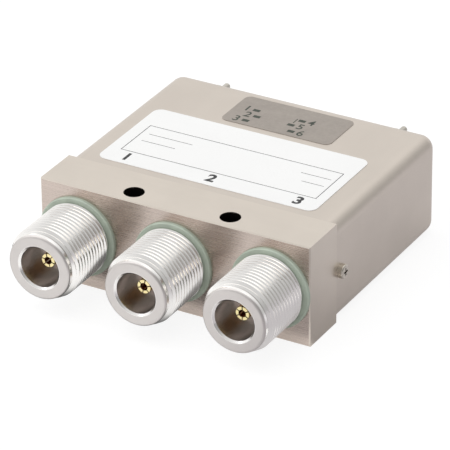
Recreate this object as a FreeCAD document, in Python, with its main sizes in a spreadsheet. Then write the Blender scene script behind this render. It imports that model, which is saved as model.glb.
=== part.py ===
"""Coaxial antenna switch: one common port switched between two others by a relay.

Parametric FreeCAD document, millimetres.  X runs along the row of connectors, +Y points from
the connectors towards the solder terminals, +Z is up.  The origin lies on the underside, midway
between the two mounting holes.  Every size is a cell of the sheet "Sizes".
"""
import FreeCAD, Part
import os
from types import SimpleNamespace

import Sketcher
from FreeCAD import Vector

SIZES = {
    # RF block
    "block_width": 62.6,
    "block_height": 22.7,
    "block_depth": 11.3,
    "block_bevel": 0.25,
    "port_pitch": 22.5,
    "port_height": 11.4,
    "hole_spacing": 22.4,
    "hole_radius": 2.2,
    "hole_setback": 3.7,
    "shank_bore_depth": 6.0,
    "line_radius": 3.5,
    "cavity_floor": 7.3,
    "cavity_half_length": 24.6,
    "cavity_half_height": 4.0,
    # cover can and the spigot that it slides over
    "spigot_depth": 3.7,
    "can_depth": 45.0,
    "can_wall": 0.8,
    "can_radius": 3.0,
    "can_clearance": 0.05,
    # screws: shank, length, head
    "screw_clearance": 0.05,
    "head_clearance": 0.1,
    "slot_share": 0.45,
    "slot_half_width_share": 0.16,
    "side_screw_setback": 1.55,
    "side_screw_radius": 0.8,
    "side_screw_length": 4.4,
    "side_screw_hole_depth": 4.0,
    "side_screw_hole_radius": 0.9,
    "side_screw_head_radius": 1.55,
    "side_screw_head_height": 1.3,
    "side_screw_head_round": 0.35,
    "recess_depth": 0.6,
    "recess_reach": 0.85,
    "recess_half_width": 0.2,
    "plate_screw_radius": 0.8,
    "plate_screw_length": 5.2,
    "plate_screw_head_radius": 1.4,
    "plate_screw_head_height": 1.0,
    "plate_screw_inner_x": 7.5,
    "plate_screw_outer_x": 22.5,
    "plate_screw_rise": 5.8,
    "plate_screw_hole_depth": 3.2,
    "bracket_screw_radius": 1.0,
    "bracket_screw_length": 3.2,
    "bracket_screw_head_radius": 1.6,
    "bracket_screw_head_height": 1.1,
    "bracket_screw_rise": 3.6,
    "bracket_screw_hole_depth": 2.4,
    "standoff_screw_radius": 1.25,
    "standoff_screw_length": 5.0,
    "standoff_screw_head_radius": 1.9,
    "standoff_screw_head_height": 1.3,
    "core_screw_radius": 1.25,
    "core_screw_length": 7.0,
    "core_screw_head_radius": 2.3,
    "core_screw_head_height": 1.5,
    "foot_screw_radius": 1.0,
    "foot_screw_length": 2.6,
    "foot_screw_head_radius": 1.6,
    "foot_screw_head_height": 1.1,
    "board_screw_radius": 1.0,
    "board_screw_length": 6.4,
    "board_screw_head_radius": 1.7,
    "board_screw_head_height": 1.1,
    # cavity cover
    "plate_half_length": 25.6,
    "plate_half_height": 7.4,
    "plate_gap": 0.05,
    "spring_seat_depth": 1.2,
    "spring_seat_radius": 2.6,
    # N jacks
    "jack_length": 15.45,
    "thread_radius": 7.9375,
    "thread_pitch": 1.0583,
    "thread_depth": 0.65,
    "thread_runout": 0.9,
    "lip_radius": 7.15,
    "lip_length": 1.25,
    "lip_round": 0.6,
    "neck_length": 0.35,
    "neck_depth": 0.3,
    "cone_length": 0.75,
    "relief_length": 0.4,
    "mouth_radius": 4.85,
    "bore_radius": 4.45,
    "bore_depth": 9.45,
    "shank_radius": 6.35,
    "gasket_radius": 8.9,
    "gasket_thickness": 0.8,
    "gasket_bevel": 0.18,
    "gasket_clearance": 0.1,
    "contact_radius": 1.52,
    "contact_recess": 3.6,
    "contact_nose": 0.06,
    "contact_slot": 0.24,
    "contact_slot_length": 4.3,
    "contact_turn_1": 46,
    "contact_turn_2": 18,
    "contact_turn_3": 30,
    "socket_radius": 0.81,
    "socket_depth": 5.4,
    "socket_drill_point": 0.3,
    "socket_lead_in": 0.03,
    "socket_lead_in_depth": 0.04,
    "probe_radius": 1.5,
    "probe_end": 9.2,
    "bead_neck_radius": 1.2,
    "bead_length": 2.2,
    "front_bead_reach": 4.6,
    "rear_bead_start": 3.6,
    # reeds and push rods
    "stroke": 1.75,
    "reed_thickness": 0.3,
    "reed_half_width": 2.1,
    "reed_gap": 0.2,
    "reed_overhang": 1.4,
    "reed_corner": 0.6,
    "stake_radius": 1.0,
    "stake_head_radius": 1.7,
    "stake_head_height": 0.6,
    "rod_radius": 1.25,
    "rod_clearance": 0.03,
    "rod_chamfer": 0.2,
    "rod_groove_depth": 0.3,
    "clip_thickness": 0.4,
    "clip_setback": 1.1,
    "clip_radius": 2.3,
    "rod_spring_radius": 2.05,
    "rod_spring_wire": 0.3,
    "rod_spring_turns": 4.5,
    # rocker
    "rocker_pivot": 20.95,
    "rocker_thickness": 1.5,
    "rocker_half_height": 4.2,
    "rocker_corner": 1.2,
    "rocker_coil_arm": 17.5,
    "rocker_spring_arm": 19.6,
    "rocker_swing": 4.456,
    "hub_radius": 2.3,
    "hub_half_length": 5.9,
    "axle_radius": 1.0,
    "axle_clearance": 0.02,
    "axle_half_length": 7.9,
    "axle_chamfer": 0.15,
    "axle_groove_start": 7.05,
    "axle_groove_end": 7.45,
    "axle_groove_depth": 0.25,
    "axle_clip_radius": 1.9,
    "adjuster_radius": 1.0,
    "adjuster_sink": 0.05,
    "adjuster_slot_depth": 0.4,
    "adjuster_slot_half_width": 0.18,
    "adjuster_round": 0.7,
    "tip_proud": 0.6,
    "contact_gap": 0.03,
    "failsafe_arm": 17.5,
    "failsafe_spring_end": 21.35,
    "failsafe_spring_radius": 1.9,
    "failsafe_spring_wire": 0.4,
    "failsafe_spring_turns": 5.5,
    "spring_nub_radius": 1.2,
    "spring_nub_height": 1.0,
    "bracket_half_width": 3.4,
    "bracket_wall": 1.0,
    "bracket_half_gap": 6.0,
    "bracket_overhang": 2.1,
    # magnet
    "standoff_x": 28.0,
    "standoff_rise": 6.5,
    "standoff_radius": 2.2,
    "standoff_stud_length": 4.6,
    "standoff_hole_depth": 5.0,
    "standoff_tapping": 6.0,
    "yoke_front": 44.0,
    "yoke_thickness": 2.0,
    "yoke_half_width": 29.9,
    "yoke_bottom": 2.0,
    "yoke_top": 20.7,
    "yoke_corner": 1.7,
    "yoke_leg_half_thickness": 1.0,
    "yoke_leg_half_height": 5.0,
    "yoke_leg_gap": 0.35,
    "lead_slot_start": 1.8,
    "lead_slot_end": 14.2,
    "lead_slot_half_height": 1.3,
    "coil_arm": 12.7,
    "pole_face": 23.15,
    "shoe_radius": 5.5,
    "shoe_thickness": 1.45,
    "shoe_chamfer": 0.2,
    "core_radius": 4.0,
    "core_tapping": 6.0,
    "bobbin_radius": 9.5,
    "bobbin_wall": 0.8,
    "flange_thickness": 1.0,
    "winding_radius": 8.9,
    "coil_pin_offset": 6.8,
    "coil_pin_radius": 0.35,
    "coil_pin_seat": 0.8,
    "coil_pin_proud": 1.0,
    "coil_pin_passage": 1.2,
    # indicator switch
    "plunger_arm": 4.9,
    "plunger_radius": 0.8,
    "plunger_tip_radius": 0.35,
    "plunger_nose": 0.4,
    "plunger_gap": 0.42,
    "plunger_clearance": 0.03,
    "collar_setback": 2.1,
    "collar_radius": 1.3,
    "collar_thickness": 0.6,
    "stem_radius": 0.7,
    "stem_length": 0.3,
    "chamber_radius": 1.45,
    "chamber_start": 0.8,
    "chamber_end": 3.4,
    "switch_start": 1.6,
    "switch_face": 23.9,
    "switch_length": 12.8,
    "switch_depth": 6.5,
    "switch_half_height": 2.9,
    "switch_corner": 0.5,
    "switch_hole_near": 4.75,
    "switch_hole_far": 11.25,
    "switch_hole_setback": 4.7,
    "blade_half_width": 0.6,
    "blade_half_thickness": 0.2,
    "blade_root": 1.0,
    "blade_length": 2.6,
    "lead_radius": 0.3,
    "lead_proud": 0.8,
    "lead_pitch": 5.0,
    "lead_start": 3.0,
    "shelf_start": 2.0,
    "shelf_end": 14.0,
    "shelf_thickness": 1.0,
    "shelf_setback": 0.6,
    "foot_drop": 8.6,
    "foot_screw_x": 8.0,
    "foot_screw_drop": 6.2,
    "switch_screw_proud": 0.5,
    "switch_screw_head_height": 1.0,
    "switch_screw_slot_half_width": 0.25,
    # driver board and terminals
    "board_front": 49.5,
    "board_thickness": 1.6,
    "board_half_width": 27.0,
    "board_bottom": 2.4,
    "board_top": 20.4,
    "board_corner": 1.0,
    "board_fixing_x": 13.0,
    "board_fixing_rise": 7.0,
    "board_pin_clearance": 0.1,
    "spacer_radius": 1.9,
    "package_height": 1.7,
    "package_edge": 0.25,
    "package_rise": 4.6,
    "pin_thickness": 0.3,
    "chip_half_length": 4.35,
    "chip_half_width": 1.95,
    "chip_standoff": 0.15,
    "chip_pin_pitch": 1.27,
    "chip_pin_half_width": 0.2,
    "chip_pin_reach": 2.9,
    "transistor_half_length": 3.25,
    "transistor_half_width": 1.75,
    "transistor_standoff": 0.1,
    "transistor_pin_pitch": 2.3,
    "transistor_pin_half_width": 0.35,
    "transistor_pin_reach": 3.3,
    "tab_half_width": 1.5,
    "tab_reach": 3.4,
    "diode_x": 9.2,
    "diode_drop": 3.6,
    "diode_length": 4.4,
    "diode_width": 3.0,
    "diode_height": 2.1,
    "resistor_x": 8.6,
    "resistor_low": 3.4,
    "resistor_high": 6.2,
    "end_resistor_x": 22.6,
    "resistor_length": 3.2,
    "resistor_width": 1.6,
    "resistor_height": 0.6,
    "terminal_outer": 21.4,
    "terminal_inner": 17.2,
    "terminal_rise": 7.95,
    "terminal_radius": 0.75,
    "terminal_shank_radius": 0.55,
    "terminal_length": 4.4,
    "terminal_round": 0.5,
    "terminal_collar_radius": 1.15,
    "terminal_collar": 0.6,
    "bushing_radius": 1.4,
    "bushing_flange_radius": 1.9,
    "bushing_flange": 0.5,
    "bushing_inset": 0.3,
    "bushing_clearance": 0.03,
    # labels on the can's top face
    "label_thickness": 0.1,
    "port_label_left": -26.0,
    "port_label_right": 24.85,
    "port_label_front": 13.35,
    "port_label_back": 38.4,
    "port_label_corner": 2.0,
    "terminal_label_left": -12.0,
    "terminal_label_right": 14.0,
    "terminal_label_front": 40.4,
    "terminal_label_back": 52.6,
    "terminal_label_corner": 1.5,
}


class Dim:
    """A size that carries its number together with the sheet expression that drives it."""

    def __init__(self, value, text):
        self.value = value
        self.text = text

    @staticmethod
    def of(item):
        """Wrap a plain number, or pass a Dim through."""
        return item if isinstance(item, Dim) else Dim(float(item), f"({float(item)!r})")

    def _join(self, symbol, other, value):
        return Dim(value, f"({self.text} {symbol} {other.text})")

    def __add__(self, other):
        other = Dim.of(other)
        return self._join("+", other, self.value + other.value)

    def __sub__(self, other):
        other = Dim.of(other)
        return self._join("-", other, self.value - other.value)

    def __mul__(self, other):
        other = Dim.of(other)
        return self._join("*", other, self.value * other.value)

    def __truediv__(self, other):
        other = Dim.of(other)
        return self._join("/", other, self.value / other.value)

    def __neg__(self):
        return Dim.of(0) - self

    def __radd__(self, other):
        return Dim.of(other) + self

    def __rsub__(self, other):
        return Dim.of(other) - self

    __rmul__ = __mul__


doc = FreeCAD.newDocument("CoaxialAntennaSwitch")


def make_sheet():
    """Write every driving size into the sheet and return them as bound Dims."""
    sheet = doc.addObject("Spreadsheet::Sheet", "Sizes")
    for row, (name, value) in enumerate(SIZES.items(), 1):
        sheet.set(f"A{row}", name)
        sheet.set(f"B{row}", repr(value))
        sheet.setAlias(f"B{row}", name)
    doc.recompute()
    return SimpleNamespace(**{name: Dim(value, f"Sizes.{name}") for name, value in SIZES.items()})


dim = make_sheet()

# ---------------------------------------------------------------- places worked out from the sizes
FRONT = -dim.hole_setback                       # block's front face, in the part's frame
HALF_WIDTH = dim.block_width / 2
SEAM = dim.block_depth                          # the block's shoulder, where the can starts
SPIGOT_END = SEAM + dim.spigot_depth
ROD_X = dim.port_pitch / 2                      # push rods stand midway between the ports
SPIGOT_HALF_WIDTH = HALF_WIDTH - dim.can_wall - dim.can_clearance
CAN_END = SEAM + dim.can_depth
YOKE_END = dim.yoke_front + dim.yoke_thickness
BOARD_END = dim.board_front + dim.board_thickness
BUSHING_END = CAN_END + dim.bushing_flange
SIDES = (-1, 1)

# ---------------------------------------------------------------- helpers
H_AXIS, V_AXIS, ORIGIN_POINT = -1, -2, 1
NORMAL_SIGN = {"XY_Plane": 1, "XZ_Plane": -1, "YZ_Plane": 1}


def new_body(label):
    """Start one piece."""
    body = doc.addObject("PartDesign::Body", label)
    body.Label = label
    return body


def place(body, x=0, y=0, z=0):
    """Bind the piece's placement; y is counted from the block's front face."""
    for axis, value in (("x", Dim.of(x)), ("y", FRONT + y), ("z", Dim.of(z))):
        body.setExpression(f".Placement.Base.{axis}", value.text)
    return body


def new_sketch(body, role, offset=0):
    """Sketch on one of the body's own origin planes, moved by offset along the plane's axis."""
    plane = next(item for item in body.Origin.OriginFeatures if item.Role == role)
    sketch = body.newObject("Sketcher::SketchObject", "Sketch")
    sketch.AttachmentSupport = [(plane, "")]
    sketch.MapMode = "FlatFace"
    sketch.setExpression(".AttachmentOffset.Base.z", (Dim.of(offset) * NORMAL_SIGN[role]).text)
    return sketch


def pin_point(sketch, geometry, point, x, y):
    """Hold a sketch point at (x, y) with dimensions bound to the sheet."""
    for kind, value, axis in (("DistanceX", Dim.of(x), V_AXIS), ("DistanceY", Dim.of(y), H_AXIS)):
        if abs(value.value) < 1e-9:
            sketch.addConstraint(Sketcher.Constraint("PointOnObject", geometry, point, axis))
            continue
        rule = Sketcher.Constraint(kind, -1, ORIGIN_POINT, geometry, point, value.value)
        sketch.setExpression(f"Constraints[{sketch.addConstraint(rule)}]", value.text)


def outline(sketch, points):
    """Closed run of straight lines through the points."""
    points = [(Dim.of(x), Dim.of(y)) for x, y in points]
    corners = [Vector(x.value, y.value, 0) for x, y in points]
    first = sketch.GeometryCount
    for start, end in zip(corners, corners[1:] + corners[:1]):
        sketch.addGeometry(Part.LineSegment(start, end))
    for index, (x, y) in enumerate(points):
        after = first + (index + 1) % len(points)
        pin_point(sketch, first + index, 1, x, y)
        sketch.addConstraint(Sketcher.Constraint("Coincident", first + index, 2, after, 1))
    return sketch


def rectangle(sketch, x0, y0, x1, y1):
    """Rectangle between two corners."""
    return outline(sketch, [(x0, y0), (x1, y0), (x1, y1), (x0, y1)])


def circle(sketch, x, y, radius):
    """Circle with its centre and radius bound."""
    x, y, radius = Dim.of(x), Dim.of(y), Dim.of(radius)
    centre = Vector(x.value, y.value, 0)
    index = sketch.addGeometry(Part.Circle(centre, Vector(0, 0, 1), radius.value))
    pin_point(sketch, index, 3, x, y)
    rule = sketch.addConstraint(Sketcher.Constraint("Radius", index, radius.value))
    sketch.setExpression(f"Constraints[{rule}]", radius.text)
    return sketch


def pad(body, sketch, length):
    """Pad towards +X, +Y or +Z, whichever is the sketch's own axis."""
    feature = body.newObject("PartDesign::Pad", "Pad")
    feature.Profile = sketch
    feature.setExpression("Length", Dim.of(length).text)
    feature.Reversed = sketch.AttachmentSupport[0][0].Role == "XZ_Plane"
    sketch.Visibility = False
    return feature


def pocket(body, sketch, depth):
    """Pocket towards +X, +Y or +Z, whichever is the sketch's own axis."""
    feature = body.newObject("PartDesign::Pocket", "Pocket")
    feature.Profile = sketch
    feature.setExpression("Length", Dim.of(depth).text)
    feature.Reversed = sketch.AttachmentSupport[0][0].Role != "XZ_Plane"
    return feature


def turn(body, points, role="XY_Plane", kind="Revolution"):
    """Turn a profile of (radius, height) points round the sketch's upright axis."""
    sketch = outline(new_sketch(body, role), points)
    feature = body.newObject(f"PartDesign::{kind}", kind)
    feature.Profile = sketch
    feature.ReferenceAxis = (sketch, ["V_Axis"])
    feature.Angle = 360
    return feature


def dress_edges(body, test, size, kind="Fillet"):
    """Fillet or chamfer those edges of the body that pass the test."""
    doc.recompute()
    base = body.Tip
    names = [f"Edge{i}" for i, edge in enumerate(base.Shape.Edges, 1) if test(edge)]
    feature = body.newObject(f"PartDesign::{kind}", kind)
    feature.Base = (base, names)
    feature.setExpression("Radius" if kind == "Fillet" else "Size", Dim.of(size).text)
    return feature


def runs_along(edge, axis):
    """Whether a straight edge is parallel to X, Y or Z."""
    if edge.Curve.TypeId != "Part::GeomLine":
        return False
    return abs(getattr(edge.Curve.Direction, axis)) > 0.999


def near(value, target):
    """Whether two lengths agree."""
    return abs(value - Dim.of(target).value) < 1e-3


def box_body(label, x0, y0, z0, x1, y1, z1):
    """A plain plate or block between two corners, y counted from the block's front face."""
    body = place(new_body(label))
    pad(body, rectangle(new_sketch(body, "XZ_Plane", y0), x0, z0, x1, z1), Dim.of(y1) - y0)
    return body


def add_box(body, x0, y0, z0, x1, y1, z1):
    """Add a block to a piece."""
    pad(body, rectangle(new_sketch(body, "XZ_Plane", y0), x0, z0, x1, z1), Dim.of(y1) - y0)


def cut_box(body, x0, y0, z0, x1, y1, z1):
    """Cut a block out of a piece."""
    pocket(body, rectangle(new_sketch(body, "XZ_Plane", y0), x0, z0, x1, z1), Dim.of(y1) - y0)


def add_discs(body, places, y0, y1, radius):
    """Add round bars along Y at each (x, z)."""
    sketch = new_sketch(body, "XZ_Plane", y0)
    for x, z in places:
        circle(sketch, x, z, radius)
    pad(body, sketch, Dim.of(y1) - y0)


def cut_discs(body, places, y0, y1, radius):
    """Bore round holes along Y at each (x, z)."""
    sketch = new_sketch(body, "XZ_Plane", y0)
    for x, z in places:
        circle(sketch, x, z, radius)
    pocket(body, sketch, Dim.of(y1) - y0)


def four_places(half_x, half_z):
    """The corners of a rectangle centred on the port height."""
    return [(half_x * i, dim.port_height + half_z * k) for i in SIDES for k in SIDES]


def sizes_of(kind, *names):
    """The cells of one kind of part, such as its radius and its length."""
    return [getattr(dim, f"{kind}_{name}") for name in names]


def cap_screws(label, kind, places, y, facing=1):
    """Slotted screws along Y with their heads' undersides at y; facing 1 puts the heads at +Y."""
    radius, length, head_radius, head_height = sizes_of(kind, "radius", "length", "head_radius",
                                                        "head_height")
    body = place(new_body(label))
    head = (y, y + head_height) if facing > 0 else (y - head_height, y)
    shank = (y - length, y) if facing > 0 else (y, y + length)
    add_discs(body, places, *head, head_radius)
    add_discs(body, places, *shank, radius)
    slot_depth = head_height * dim.slot_share
    slot = (head[1] - slot_depth, head[1]) if facing > 0 else (head[0], head[0] + slot_depth)
    sketch = new_sketch(body, "XZ_Plane", slot[0])
    half_slot = head_radius * dim.slot_half_width_share
    for x, z in places:
        x, z = Dim.of(x), Dim.of(z)
        rectangle(sketch, x - head_radius, z - half_slot, x + head_radius, z + half_slot)
    pocket(body, sketch, slot[1] - slot[0])
    return body


# ---------------------------------------------------------------- RF block and its cover
PORTS = {1: -dim.port_pitch, 2: Dim.of(0), 3: dim.port_pitch}
REED_FRONT = dim.probe_end + dim.contact_gap    # a closed reed, a hair off the probes
ROD_LENGTH = (dim.rocker_pivot - dim.rocker_thickness / 2 - dim.tip_proud - dim.contact_gap
              - REED_FRONT - dim.stroke / 2)
PLATE_SCREWS = (four_places(dim.plate_screw_inner_x, dim.plate_screw_rise)
                + four_places(dim.plate_screw_outer_x, dim.plate_screw_rise))
PLATE_SCREW_SEAT = SPIGOT_END - dim.plate_screw_head_height - dim.head_clearance
BRACKET_SCREWS = [(0, dim.port_height + dim.bracket_screw_rise * side) for side in SIDES]
STANDOFFS = four_places(dim.standoff_x, dim.standoff_rise)
MIDDLE = dim.block_height / 2


def round_rectangle_edges(body, radius):
    """Round the long edges that run along Y."""
    dress_edges(body, lambda edge: runs_along(edge, "y"), radius)


def rf_housing():
    """Block with the jack bores, the two mounting holes, the RF channel and the can's spigot."""
    body = box_body("rf_housing", -SPIGOT_HALF_WIDTH, 0, dim.can_wall + dim.can_clearance,
                    SPIGOT_HALF_WIDTH, SPIGOT_END,
                    dim.block_height - dim.can_wall - dim.can_clearance)
    round_rectangle_edges(body, dim.can_radius - dim.can_wall - dim.can_clearance)
    add_box(body, -HALF_WIDTH, 0, 0, HALF_WIDTH, SEAM, dim.block_height)
    ports = [(x, dim.port_height) for x in PORTS.values()]
    cut_discs(body, ports, 0, dim.shank_bore_depth, dim.shank_radius)
    cut_discs(body, ports, 0, dim.cavity_floor, dim.line_radius)
    channel = (dim.cavity_half_length, dim.cavity_half_height)
    ledge = (dim.plate_half_length, dim.plate_half_height)
    for (half_length, half_height), start in ((channel, dim.cavity_floor), (ledge, SEAM)):
        cut_box(body, -half_length, start, dim.port_height - half_height,
                half_length, SPIGOT_END, dim.port_height + half_height)
    cut_discs(body, PLATE_SCREWS, SEAM - dim.plate_screw_hole_depth, SPIGOT_END,
              dim.plate_screw_radius)
    cut_discs(body, STANDOFFS, SPIGOT_END - dim.standoff_hole_depth, SPIGOT_END,
              dim.standoff_screw_radius)
    holes = new_sketch(body, "XY_Plane")
    for side in SIDES:
        circle(holes, dim.hole_spacing / 2 * side, dim.hole_setback, dim.hole_radius)
    pocket(body, holes, dim.block_height)
    for start in (SPIGOT_HALF_WIDTH - dim.side_screw_hole_depth, -SPIGOT_HALF_WIDTH):
        tapped = new_sketch(body, "YZ_Plane", start)
        circle(tapped, SEAM + dim.side_screw_setback, MIDDLE, dim.side_screw_radius)
        pocket(body, tapped, dim.side_screw_hole_depth)
    dress_edges(body, lambda edge: near(edge.BoundBox.YMax, 0) and edge.Curve.TypeId ==
                "Part::GeomLine", dim.block_bevel, "Chamfer")
    return body


def cavity_cover():
    """Thick plate that closes the RF channel and guides the two push rods."""
    half_length = dim.plate_half_length - dim.plate_gap
    half_height = dim.plate_half_height - dim.plate_gap
    body = box_body("cavity_cover", -half_length, SEAM, dim.port_height - half_height,
                    half_length, SPIGOT_END, dim.port_height + half_height)
    rods = [(ROD_X * side, dim.port_height) for side in SIDES]
    cut_discs(body, rods, SEAM, SPIGOT_END, dim.rod_radius + dim.rod_clearance)
    seats = rods + [(dim.failsafe_arm, dim.port_height)]
    cut_discs(body, seats, SPIGOT_END - dim.spring_seat_depth, SPIGOT_END,
              dim.spring_seat_radius)
    cut_discs(body, PLATE_SCREWS, SEAM, SPIGOT_END, dim.plate_screw_radius + dim.screw_clearance)
    cut_discs(body, PLATE_SCREWS, PLATE_SCREW_SEAT, SPIGOT_END,
              dim.plate_screw_head_radius + dim.head_clearance)
    cut_discs(body, BRACKET_SCREWS, SPIGOT_END - dim.bracket_screw_hole_depth, SPIGOT_END,
              dim.bracket_screw_radius)
    return body


def base_gasket(number, x):
    """Flat ring that seals a jack's shoulder to the block."""
    body = place(new_body(f"base_gasket_{number}"), x=x, z=dim.port_height)
    front, bevel = -dim.gasket_thickness, dim.gasket_bevel
    bore_radius = dim.shank_radius + dim.gasket_clearance
    turn(body, [(bore_radius, front), (dim.gasket_radius - bevel, front),
                (dim.gasket_radius, front + bevel), (dim.gasket_radius, 0), (bore_radius, 0)])
    return body


def connector_shell(number, x):
    """N jack: plain lip, threaded barrel, stepped bore and the shank held in the block."""
    body = place(new_body(f"connector_shell_{number}"), x=x, z=dim.port_height)
    tip = -dim.jack_length
    lip_end = tip + dim.lip_length
    neck_end = lip_end + dim.neck_length
    thread_start = neck_end + dim.cone_length
    shoulder = -dim.gasket_thickness
    thread_end = shoulder - dim.relief_length
    neck_radius = dim.lip_radius - dim.neck_depth
    root_radius = dim.thread_radius - dim.thread_depth
    mouth = dim.mouth_radius - dim.bore_radius
    turn(body, [(dim.mouth_radius, tip), (dim.lip_radius, tip), (dim.lip_radius, lip_end),
                (neck_radius, lip_end), (neck_radius, neck_end),
                (dim.thread_radius, thread_start), (dim.thread_radius, thread_end),
                (root_radius, thread_end), (root_radius, shoulder),
                (dim.shank_radius, shoulder), (dim.shank_radius, dim.shank_bore_depth),
                (dim.line_radius, dim.shank_bore_depth), (dim.line_radius, tip + dim.bore_depth),
                (dim.bore_radius, tip + dim.bore_depth), (dim.bore_radius, tip + mouth)])
    dress_edges(body, lambda edge: near(edge.BoundBox.YMax, tip)
                and near(edge.BoundBox.XMax, dim.lip_radius), dim.lip_round)
    cut_thread(body, thread_start - dim.thread_pitch,
               thread_end - thread_start + dim.thread_runout)
    return body


CREST_FLAT, ROOT_FLAT = 0.125, 0.16             # flats of the thread, as shares of its pitch
FLANK_SLOPE = 0.577                             # tangent of a flank's 30 degrees


def cut_thread(body, start, length):
    """Cut a 60 degree groove in a helix, running in on the cone and out in the relief."""
    half_mouth = dim.thread_pitch * ((1 - CREST_FLAT) / 2)
    half_root = dim.thread_pitch * (ROOT_FLAT / 2)
    clear = 0.06
    widening = clear * FLANK_SLOPE
    sketch = new_sketch(body, "XY_Plane")
    outline(sketch, [(dim.thread_radius + clear, start - half_mouth - widening),
                     (dim.thread_radius - dim.thread_depth, start - half_root),
                     (dim.thread_radius - dim.thread_depth, start + half_root),
                     (dim.thread_radius + clear, start + half_mouth + widening)])
    groove = body.newObject("PartDesign::SubtractiveHelix", "Thread")
    groove.Profile = sketch
    groove.ReferenceAxis = (sketch, ["V_Axis"])
    groove.Mode = "pitch-height-angle"
    groove.setExpression("Pitch", dim.thread_pitch.text)
    groove.setExpression("Height", Dim.of(length).text)
    return groove


FRONT_BEAD = (-dim.front_bead_reach, -dim.front_bead_reach + dim.bead_length)
REAR_BEAD = (dim.rear_bead_start, dim.rear_bead_start + dim.bead_length)


def centre_contact(number, x):
    """Gold contact: a six-finger socket in front, a probe in the RF channel behind."""
    body = place(new_body(f"centre_contact_{number}"), x=x, z=dim.port_height)
    tip = -dim.jack_length + dim.contact_recess
    nose, neck = dim.contact_nose, dim.bead_neck_radius
    socket_end = tip + dim.socket_depth
    turn(body, [(0, socket_end), (dim.socket_radius, socket_end - dim.socket_drill_point),
                (dim.socket_radius, tip + dim.socket_lead_in_depth),
                (dim.socket_radius + dim.socket_lead_in, tip),
                (dim.contact_radius - nose, tip), (dim.contact_radius, tip + nose),
                (dim.contact_radius, FRONT_BEAD[0]), (neck, FRONT_BEAD[0]),
                (neck, FRONT_BEAD[1]), (dim.probe_radius, FRONT_BEAD[1]),
                (dim.probe_radius, REAR_BEAD[0]), (neck, REAR_BEAD[0]),
                (neck, REAR_BEAD[1]), (dim.probe_radius, REAR_BEAD[1]),
                (dim.probe_radius, dim.probe_end), (0, dim.probe_end)])
    slot = new_sketch(body, "XZ_Plane", tip)
    turned = getattr(dim, f"contact_turn_{number}")
    slot.AttachmentOffset = FreeCAD.Placement(slot.AttachmentOffset.Base,
                                              FreeCAD.Rotation(Vector(0, 0, 1), turned.value))
    slot.setExpression(".AttachmentOffset.Rotation.Angle", turned.text)
    rectangle(slot, dim.socket_radius / 2, -dim.contact_slot / 2,
              dim.contact_radius * 1.1, dim.contact_slot / 2)
    cut = pocket(body, slot, dim.contact_slot_length)
    fingers = body.newObject("PartDesign::PolarPattern", "Fingers")
    fingers.Originals = [cut]
    fingers.Axis = (slot, ["N_Axis"])
    fingers.Angle = 360
    fingers.Occurrences = 6
    body.Tip = fingers
    return body


def beads(label, span):
    """Three dielectric beads that hold the centre contacts in their shells."""
    body = place(new_body(label))
    ports = [(x, dim.port_height) for x in PORTS.values()]
    add_discs(body, ports, *span, dim.line_radius)
    cut_discs(body, ports, *span, dim.bead_neck_radius)
    return body


# ---------------------------------------------------------------- reeds and push rods
def reed(label, side, shift):
    """Flat blade that bridges the common probe and an outer probe; side is -1 or 1."""
    inner, outer = dim.reed_gap * side, (dim.port_pitch + dim.reed_overhang) * side
    low, high = (outer, inner) if side < 0 else (inner, outer)
    body = box_body(label, low, REED_FRONT + shift, dim.port_height - dim.reed_half_width,
                    high, REED_FRONT + shift + dim.reed_thickness,
                    dim.port_height + dim.reed_half_width)
    cut_discs(body, [(ROD_X * side, dim.port_height)], REED_FRONT + shift,
              REED_FRONT + shift + dim.reed_thickness, dim.stake_radius)
    round_blade_corners(body)
    return body


def round_blade_corners(body):
    """Round the short corner edges of a reed, leaving its hole alone."""
    dress_edges(body, lambda edge: runs_along(edge, "y")
                and near(abs(edge.BoundBox.Center.z - dim.port_height.value), dim.reed_half_width),
                dim.reed_corner)


CLIP_END = ROD_LENGTH - dim.clip_setback
CLIP_START = CLIP_END - dim.clip_thickness
GROOVE_RADIUS = dim.rod_radius - dim.rod_groove_depth


def push_rod(label, side, shift):
    """Dielectric rod staked to its reed, with a groove for the spring's clip."""
    body = place(new_body(label), x=ROD_X * side, y=REED_FRONT + shift, z=dim.port_height)
    head_radius, head_front = dim.stake_head_radius, -dim.stake_head_height
    chamfer = dim.rod_chamfer
    turn(body, [(0, head_front), (head_radius - chamfer, head_front),
                (head_radius, head_front + chamfer), (head_radius, 0), (dim.stake_radius, 0),
                (dim.stake_radius, dim.reed_thickness), (dim.rod_radius, dim.reed_thickness),
                (dim.rod_radius, CLIP_START), (GROOVE_RADIUS, CLIP_START),
                (GROOVE_RADIUS, CLIP_END), (dim.rod_radius, CLIP_END),
                (dim.rod_radius, ROD_LENGTH - chamfer), (dim.rod_radius - chamfer, ROD_LENGTH),
                (0, ROD_LENGTH)])
    return body


def rod_clip(label, side, shift):
    """Open washer in the rod's groove."""
    body = place(new_body(label), x=ROD_X * side, y=REED_FRONT + shift, z=dim.port_height)
    add_discs(body, [(0, 0)], CLIP_START, CLIP_END, dim.clip_radius)
    cut_discs(body, [(0, 0)], CLIP_START, CLIP_END, GROOVE_RADIUS)
    cut_box(body, -GROOVE_RADIUS, CLIP_START, 0, GROOVE_RADIUS, CLIP_END, dim.clip_radius * 1.1)
    return body


def coil_spring(label, kind, x, start, end):
    """Compression spring along Y between two seats."""
    radius, wire, turns = sizes_of(kind, "radius", "wire", "turns")
    body = place(new_body(label), x=x, y=start, z=dim.port_height)
    sketch = circle(new_sketch(body, "XY_Plane"), radius - wire / 2, wire / 2, wire / 2)
    spring = body.newObject("PartDesign::AdditiveHelix", "Coils")
    spring.Profile = sketch
    spring.ReferenceAxis = (sketch, ["V_Axis"])
    spring.Mode = "pitch-height-angle"
    height = end - start - wire
    spring.setExpression("Pitch", (height / turns).text)
    spring.setExpression("Height", height.text)
    return body


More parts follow.
